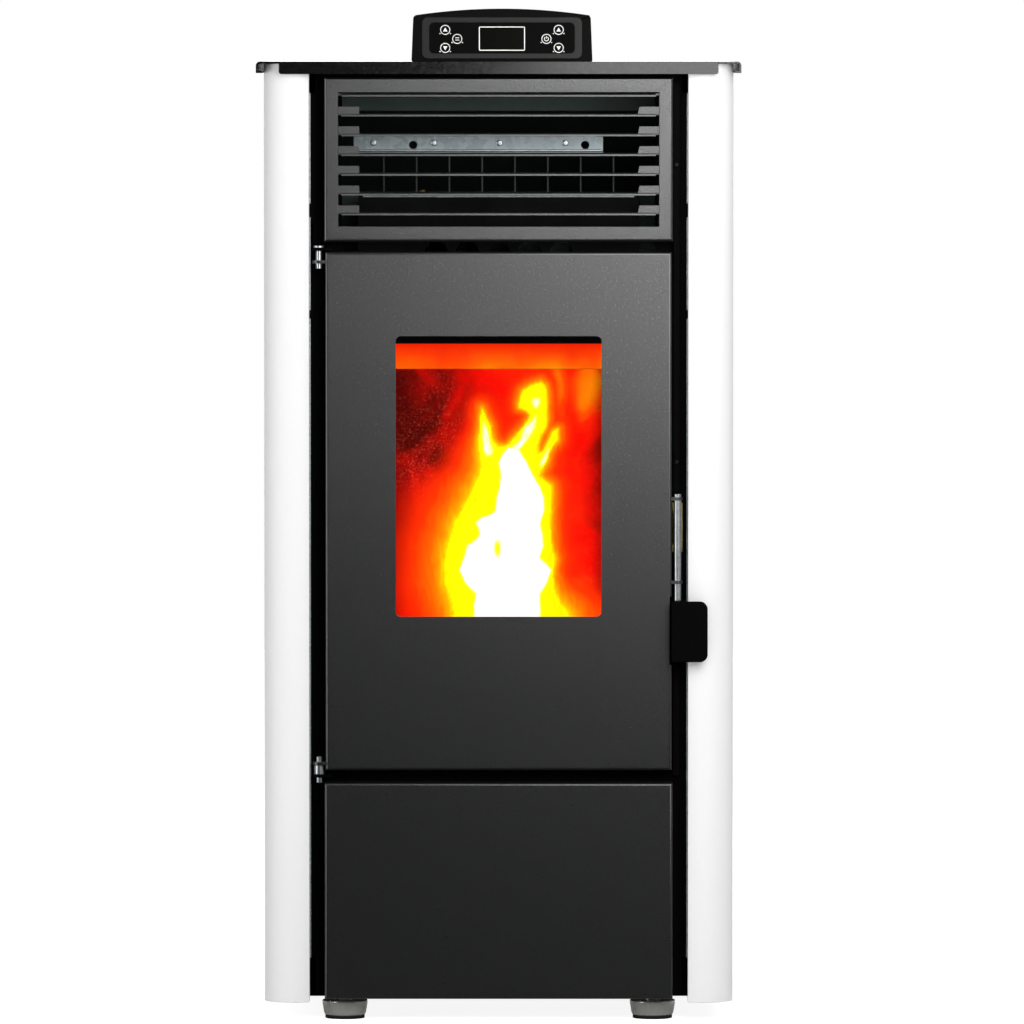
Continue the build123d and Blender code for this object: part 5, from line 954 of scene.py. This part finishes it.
def flame_skins(reach, cell, bulge):
    """The flame as two curved skins that meet at its edge, with the heat of each point stored on it."""
    half, low_z, high_z, middle_y = 100.0, 368.0, 620.0, -60.0
    bm = bmesh.new()
    heat_layer = bm.verts.layers.float.new("flame_heat")
    across, up = round(2 * half / cell), round((high_z - low_z) / cell)
    heats = {(i, k): heat_at(i * cell - half, k * cell + low_z, reach)
             for i in range(across + 1) for k in range(up + 1)}
    for side in (-1, 1):
        verts = {}
        for i in range(across):
            for k in range(up):
                corners = [(i, k), (i + 1, k), (i + 1, k + 1), (i, k + 1)]
                if max(heats[c] for c in corners) < LEAST_HEAT:
                    continue
                for c in corners:
                    if c not in verts:
                        depth = bulge * sqrt(max(0.0, min(1.0, (heats[c] - LEAST_HEAT) / 0.7)))
                        verts[c] = bm.verts.new((c[0] * cell - half, middle_y + side * depth, c[1] * cell + low_z))
                        verts[c][heat_layer] = heats[c]
                bm.faces.new([verts[c] for c in (corners if side < 0 else reversed(corners))])
    bmesh.ops.remove_doubles(bm, verts=bm.verts, dist=0.01)
    return bm


def even_steps(low, high, size):
    """Even steps from low to high, each a little over a size."""
    count = int((high - low) / size)
    return [low + (high - low) * i / count for i in range(count + 1)]


def heap(name, finish, x, y, height, cell, radius, length, sides, spacing, seed):
    """Pellets scattered over a curved surface, which is given by its limits, its height at a point and its cells.

    Only the pellets stay, and not the surface.
    """
    bm = bmesh.new()
    turn_into(bm, [(radius * 0.8, 0), (radius, 0.6), (radius, length - 0.6), (radius * 0.8, length)],
              Matrix.Translation((-length / 2, 0, 0)) @ ALONG_X, sides)
    pellet = made("pellet_source", bm, finish, sharp=60)
    bm = bmesh.new()
    grid = [[bm.verts.new((u, v, height(u, v))) for v in even_steps(*y, cell)] for u in even_steps(*x, cell)]
    for left, right in zip(grid, grid[1:]):
        for j in range(len(left) - 1):
            bm.faces.new((left[j], right[j], right[j + 1], left[j + 1]))
    piece = made(name, bm, finish, outward=False)
    grow(piece, scattered, Pellet=pellet, Spacing=spacing * MM, Density=900000.0, Seed=seed, Tilt=0.5)
    bpy.data.objects.remove(pellet)
    return piece


class STOVE_OT_fire(bpy.types.Operator):
    """Lights the fire: flames as curved skins coloured by their heat, over glowing pellets in the pot"""
    bl_idname = "stove.fire"
    bl_label = "Fire"

    def execute(self, context):
        fire = context.scene.stove_fire
        skins = flame_skins(fire.reach / MM, fire.cell / MM, fire.depth / MM)
        tongues = ride(made("flame", skins, "flame", sharp=0, outward=False), "pot")
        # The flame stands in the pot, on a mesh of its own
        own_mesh(tongues)
        pellets = heap("glowing_pellets", "embers", (-30, 30), (-85, -25),
                       lambda x, y: 352 + 12 * exp(-((x / 22) ** 2 + ((y + 55) / 22) ** 2)), cell=4,
                       radius=fire.pellet_radius / MM, length=16.0, sides=7, spacing=5.5, seed=fire.pellet_seed)
        ride(pellets, "pot")
        return {"FINISHED"}


class STOVE_OT_hopper(bpy.types.Operator):
    """Finishes the hopper and its guard, and fills it with wood pellets"""
    bl_idname = "stove.hopper"
    bl_label = "Hopper"

    def execute(self, context):
        fire = context.scene.stove_fire
        # The hopper's sheet is darkened as painted shade
        dressed("hopper", 0.2, "dusty_galvanised_sheet")
        coat("hopper_guard")
        pellets = heap("wood_pellets", "wood_pellet", (-158, 158), (58, 188),
                       lambda x, y: 800 + 14 * sin(x / 60) * cos(y / 45), cell=12,
                       radius=fire.pellet_radius / MM, length=18.0, sides=6, spacing=6.5, seed=fire.pellet_seed + 1)
        ride(pellets, "stove")
        return {"FINISHED"}


# The control face leans back from its foot on the top plate
CONTROL_LEAN = radians(8)
CONTROL_UP = Vector((0, sin(CONTROL_LEAN), cos(CONTROL_LEAN)))
CONTROL_OUT = X.cross(CONTROL_UP)
CONTROL_MIDDLE = Vector((3.2, -232.0, 920.0)) + 22.5 * CONTROL_UP

# Each key's place across and up from the fascia's middle, and the symbol printed in its ring
KEYS = {
    "key_left_up": (-54.2, 7.8, "up"), "key_left_down": (-54.2, -9.6, "down"), "key_set": (-42.7, -0.9, "set"),
    "key_power": (42.5, -0.9, "power"), "key_right_up": (54.2, 7.8, "up"), "key_right_down": (54.2, -9.6, "down"),
}


def on_control(across, up, out):
    """The plane at a place on the control face, from the fascia's middle."""
    return plane(CONTROL_MIDDLE + across * X + up * CONTROL_UP + out * CONTROL_OUT, X, CONTROL_UP)


def control_height(node, half_across=inf, half_up=inf):
    """How far a node stands out of the control face within some distance of the fascia's middle."""
    spots = [vert.co / MM - CONTROL_MIDDLE for vert in frame["nodes"][node].data.vertices]
    return max(spot.dot(CONTROL_OUT) for spot in spots
               if abs(spot.x) < half_across and abs(spot.dot(CONTROL_UP)) < half_up)


def symbol_into(bm, kind, line, at):
    """Adds a plain symbol: a triangle up or down, two bars, or the power sign."""
    if kind in ("up", "down"):
        way = 1 if kind == "up" else -1
        extrude_into(bm, [(0, 2.2 * way), (-2.1, -1.5 * way), (2.1, -1.5 * way)], 0.08, at)
    elif kind == "set":
        for y in (-1.1, 1.1):
            stroke_into(bm, [(-1.9, y), (1.9, y)], line, 0.08, at)
    else:
        stroke_into(bm, arc(1.95, 125, 415, 22), line, 0.08, at)
        stroke_into(bm, [(0, 0.4), (0, 2.7)], line, 0.09, at)


class STOVE_OT_controls(bpy.types.Operator):
    """Builds the control panel: housing, bezel, display and six printed keys"""
    bl_idname = "stove.controls"
    bl_label = "Control panel"

    def execute(self, context):
        sizes = context.scene.stove_controls
        dressed("control_housing", 1.2, segments=4)
        dressed("control_fascia", 0.35, segments=3)
        dressed("display_window", 0.25, "display_acrylic")
        field = control_height("control_fascia", 66, 14)  # the sunk field inside the bezel
        display_up = -0.6
        # The film, with openings for the display and the keys, and two printed dots beside each key
        bm, cutter, dots = bmesh.new(), bmesh.new(), bmesh.new()
        extrude_into(bm, rounded(69.6, 15.0, 4.6, 8), 0.07, on_control(0, 0, field - 0.03))
        film = made("fascia_film", bm, "fascia_film")
        through = on_control(0, 0, field - 1.0)
        extrude_into(cutter, rounded(21.8, 11.4, 0.6, middle_y=display_up), 2.0, through)
        for u, v, _ in KEYS.values():
            extrude_into(cutter, circle(5.25, 48, (u, v)), 2.0, through)
            for angle in (radians(-35), radians(215)):
                spot = (u + 6.1 * cos(angle), v + 6.1 * sin(angle))
                extrude_into(dots, circle(0.55, 12, spot), 0.04, on_control(0, 0, field + 0.03))
        cut(film, cutter)
        ride(film, "stove")
        place("key_dots_print", dots, "white_print", sharp=30)
        # The display's outline, printed on the window's edge
        bm = bmesh.new()
        stroke_into(bm, rounded(21.6, 11.2, 0.8, 3), sizes.frame_line / MM, 0.06,
                    on_control(0, display_up, field + 0.02), closed=True)
        place("display_outline", bm, "white_print", sharp=30)
        for node, (u, v, symbol) in KEYS.items():
            # A cap with a shallow dish, which the print stands in
            rise = control_height(node) - 0.06
            bm = bmesh.new()
            turn_into(bm, [(0, -1.2), (4.6, -1.2), (5.0, -1.0), (5.0, rise - 0.6), (4.88, rise - 0.2), (4.6, rise),
                           (3.9, rise), (3.6, rise - 0.08), (0, rise - 0.08)], on_control(u, v, 0), 48)
            place(f"{node}_cap", bm, "key_plastic", BODY_OF[node], replaces=(node,))
            bm = bmesh.new()
            stroke_into(bm, arc(sizes.ring_radius / MM - 0.35, 0, 345, 40), sizes.line / MM, 0.06,
                        on_control(u, v, rise - 0.01), closed=True)
            symbol_into(bm, symbol, sizes.line / MM, on_control(u, v, rise - 0.09))
            place(f"{node}_print", bm, "white_print", BODY_OF[node], sharp=30)
        return {"FINISHED"}


def screw_source(radius, height, finish):
    """One pan-head screw with a cross recess, its head up at the origin, as the hidden source of a group."""
    bm = bmesh.new()
    head = [(1, 0), (1, 0.35), (0.93, 0.72), (0.74, 0.95), (0.62, 1)]
    rings = [[bm.verts.new((x, y, height * z)) for x, y in circle(radius * r, 24)] for r, z in head]
    for low, high in zip(rings, rings[1:]):
        band_into(bm, low, high)
    arm, reach = radius * 0.12, radius * 0.46
    cross = [(x * c - y * s, x * s + y * c) for c, s in ((1, 0), (0, 1), (-1, 0), (0, -1))
             for x, y in ((reach, -arm), (reach, arm), (arm, arm))]
    rim = [bm.verts.new((x, y, height)) for x, y in cross]
    floor = [bm.verts.new((x * 0.8, y * 0.8, height * 0.35)) for x, y in cross]
    # The last ring has two vertices for each corner of the cross
    outer = rings[-1]
    for i in range(12):
        bm.faces.new((outer[2 * i - 1], outer[2 * i], rim[i]))
        bm.faces.new((outer[2 * i], outer[2 * i + 1], rim[(i + 1) % 12], rim[i]))
    band_into(bm, rim, floor)
    bm.faces.new(rings[0])
    bm.faces.new(floor)
    return made("screw_source", bm, finish)


class STOVE_OT_screws(bpy.types.Operator):
    """Sets the pan-head screws of the back panel, the stop strip and the outlet bracket"""
    bl_idname = "stove.screws"
    bl_label = "Screws"

    def execute(self, context):
        backwards, forwards = (-pi / 2, 0, 0), (pi / 2, 0, 0)
        groups = (  # name, places, turn, radius and height of a head, finish
            ("back_panel_screws", [(x, 208, z) for x in (-213, 213) for z in (50, 340, 620, 890)],
             backwards, 4.0, 2.4, "zinc_plated_steel"),
            ("stop_strip_screws", [(170.5, -212, z) for z in (536, 821)], forwards, 2.5, 1.5, "black_oxide_steel"),
            ("outlet_bracket_screws", [(x, -199, 842) for x in (-120, -62, 1, 64)],
             forwards, 3.0, 1.5, "zinc_plated_steel"),
        )
        for name, places, turn, radius, height, finish in groups:
            screw = screw_source(radius, height, finish)
            bm = bmesh.new()
            for at in places:
                bm.verts.new(at)
            piece = made(name, bm, finish)
            grow(piece, on_points, Screw=screw, Turn=turn)
            ride(piece, "stove", ("casing_screws",))
            bpy.data.objects.remove(screw)
        return {"FINISHED"}


class STOVE_OT_feet(bpy.types.Operator):
    """Turns the four levelling feet: a tapered steel cup on its stud over a rubber pad"""
    bl_idname = "stove.feet"
    bl_label = "Feet"

    def execute(self, context):
        pad = [(0, 0), (18.4, 0), (19.0, 0.5), (19.0, 1.2), (18.6, 1.5), (19.0, 1.8), (19.0, 3.0), (0, 3.0)]
        cup = [(0, 3.0), (17.6, 3.0), (18.8, 3.3), (19.6, 4.2), (20.3, 6.0), (21.9, 15.8), (21.8, 17.0), (21.2, 17.7),
               (20.2, 18.0), (9.0, 18.0), (9.0, 20.6), (8.6, 21.0), (5.4, 21.0), (5.0, 21.4)]
        thread_foot, half_pitch, thread_depth = 21.4, 0.75, 0.55
        for node in ("foot_front_left", "foot_front_right", "foot_rear_left", "foot_rear_right"):
            low, high = box_mm(node)
            top = high[2]
            foot = plane(((low[0] + high[0]) / 2, (low[1] + high[1]) / 2, 0), X, Y)
            thread = [(5.0 - thread_depth * (k % 2), thread_foot + half_pitch * k)
                      for k in range(1, int((top - thread_foot - 1) / half_pitch))]
            stud_end = [(4.6, top - 0.3), (4.2, top), (0, top)]
            bm = bmesh.new()
            turn_into(bm, cup + thread + stud_end, foot, 72)
            place(f"{node}_cup", bm, "foot_steel", BODY_OF[node], replaces=(node,))
            bm = bmesh.new()
            turn_into(bm, pad, foot)
            place(f"{node}_pad", bm, "foot_rubber", BODY_OF[node])
        return {"FINISHED"}


class STOVE_OT_power_inlet(bpy.types.Operator):
    """Finishes the power inlet and its rocker, with a printed line and ring for on and off"""
    bl_idname = "stove.power_inlet"
    bl_label = "Power inlet"

    def execute(self, context):
        dressed("power_inlet", 0.5)
        dressed("power_rocker", 0.5)
        face_y = box_mm("power_inlet")[1][1]
        bm = bmesh.new()
        for z, points, closed in ((124, [(0, -2), (0, 2)], False), (91, circle(2.0, 24), True)):
            stroke_into(bm, points, 0.7, 0.08, plane((160, face_y - 0.02, z), -X, Z), closed)
        place("switch_marks_print", bm, "white_print", sharp=30)
        return {"FINISHED"}


def studio_world():
    """Plain light: dim over the object, white wherever the camera looks, and in mirrors white behind the stove."""
    world = bpy.data.worlds.new("studio")
    world.use_nodes = True
    world.node_tree.nodes.clear()
    add = partial(add_node, world.node_tree)
    path = add("ShaderNodeLightPath").outputs
    axes = add("ShaderNodeSeparateXYZ", {"Vector": add("ShaderNodeTexCoord").outputs["Generated"]})
    behind = add("ShaderNodeMapRange", {
        "Value": axes.outputs["Y"], "From Min": -0.35, "From Max": 0.1, "To Min": 0.02, "To Max": 1.0})
    mirror = add("ShaderNodeMath", {0: path["Is Glossy Ray"], 1: path["Is Transmission Ray"]}, operation="MAXIMUM")
    dim = add("ShaderNodeMix", {"Factor": mirror, "A": 0.32, "B": behind}, data_type="FLOAT")
    level = add("ShaderNodeMath", {0: dim, 1: path["Is Camera Ray"]}, operation="MAXIMUM")
    light = add("ShaderNodeBackground", {"Color": "#ffffff", "Strength": level})
    add("ShaderNodeOutputWorld", {"Surface": light})
    return world


class STOVE_OT_stage(bpy.types.Operator):
    """Sets the floor, the lamps, the world and the camera"""
    bl_idname = "stove.stage"
    bl_label = "Stage"

    def execute(self, context):
        stage = context.scene.stove_stage
        mesh = bpy.data.meshes.new("floor")
        mesh.from_pydata([(-6, -6, 0), (6, -6, 0), (6, 6, 0), (-6, 6, 0)], [], [(0, 1, 2, 3)])
        mesh.materials.append(new_material("pale matt floor", matt_floor, colour=stage.floor_colour))
        floor = self.put("floor", mesh)
        side = stage.side_lamp
        lamps = (  # name, place, aim, width, height, power
            ("high lamp", (0.64, -1.75, 1.33), (0.64, 0, 1.33), 1.2, 1.4, stage.high_lamp),
            ("left lamp", (-2.1, -1.4, 0.5), (0, -0.1, 0.3), 1.0, 1.4, side),
            ("right lamp", (2.1, -1.2, 0.3), (0, -0.1, 0.2), 1.0, 1.0, side * 0.1),
            ("rear lamp", (0.3, 2.3, 1.4), (0, 0.1, 0.5), 2.0, 1.5, side * 0.8),
        )
        for name, at, aim, width, height, power in lamps:
            lamp = bpy.data.lights.new(name, "AREA")
            lamp.shape, lamp.size, lamp.size_y, lamp.energy = "RECTANGLE", width, height, power
            self.put(name, lamp, at, aim)
        context.scene.world = studio_world()
        aim, picture_width = Vector((0.0128, -0.226, 0.489)), 0.9797
        lens = bpy.data.cameras.new("camera")
        lens.lens = lens.sensor_width * stage.camera_distance / picture_width
        lens.clip_end = 60
        at = (aim.x, aim.y - stage.camera_distance, stage.camera_height)
        context.scene.camera = self.put("camera", lens, at, aim)
        context.scene.view_settings.view_transform = "Standard"
        return {"FINISHED"}

    def put(self, name, data, at=None, aim=None):
        """Puts an object into the scene, aimed from one point at another if they are given."""
        thing = bpy.data.objects.new(name, data)
        if at:
            thing.location = at
            thing.rotation_euler = (Vector(aim) - Vector(at)).to_track_quat("-Z", "Y").to_euler()
        bpy.context.collection.objects.link(thing)
        return thing


OPERATORS = (STOVE_OT_casing, STOVE_OT_grille, STOVE_OT_outlet_guard, STOVE_OT_door, STOVE_OT_firebox, STOVE_OT_fire,
             STOVE_OT_hopper, STOVE_OT_controls, STOVE_OT_screws, STOVE_OT_feet, STOVE_OT_power_inlet, STOVE_OT_stage)
SETTINGS = {"stove_casing": StoveCasing, "stove_fire": StoveFire, "stove_controls": StoveControls,
            "stove_stage": StoveStage}


class STOVE_PT_panel(bpy.types.Panel):
    """The stove's sizes and its pieces, in the order they are built"""
    bl_idname = "STOVE_PT_panel"
    bl_label = "Pellet stove"
    bl_space_type = "VIEW_3D"
    bl_region_type = "UI"
    bl_category = "Stove"

    def draw(self, context):
        for name, group in SETTINGS.items():
            box = self.layout.box()
            for key in group.__annotations__:
                box.prop(getattr(context.scene, name), key)
        for operator in OPERATORS:
            self.layout.operator(operator.bl_idname)


def register():
    for group in (*SETTINGS.values(), *OPERATORS, STOVE_PT_panel):
        bpy.utils.register_class(group)
    for name, group in SETTINGS.items():
        setattr(bpy.types.Scene, name, PointerProperty(type=group))


def unregister():
    for name in SETTINGS:
        delattr(bpy.types.Scene, name)
    for group in (STOVE_PT_panel, *reversed(OPERATORS), *SETTINGS.values()):
        bpy.utils.unregister_class(group)


def main():
    register()
    for operator in OPERATORS:
        family, name = operator.bl_idname.split(".")
        getattr(getattr(bpy.ops, family), name)()


if __name__ == "__main__":
    main()
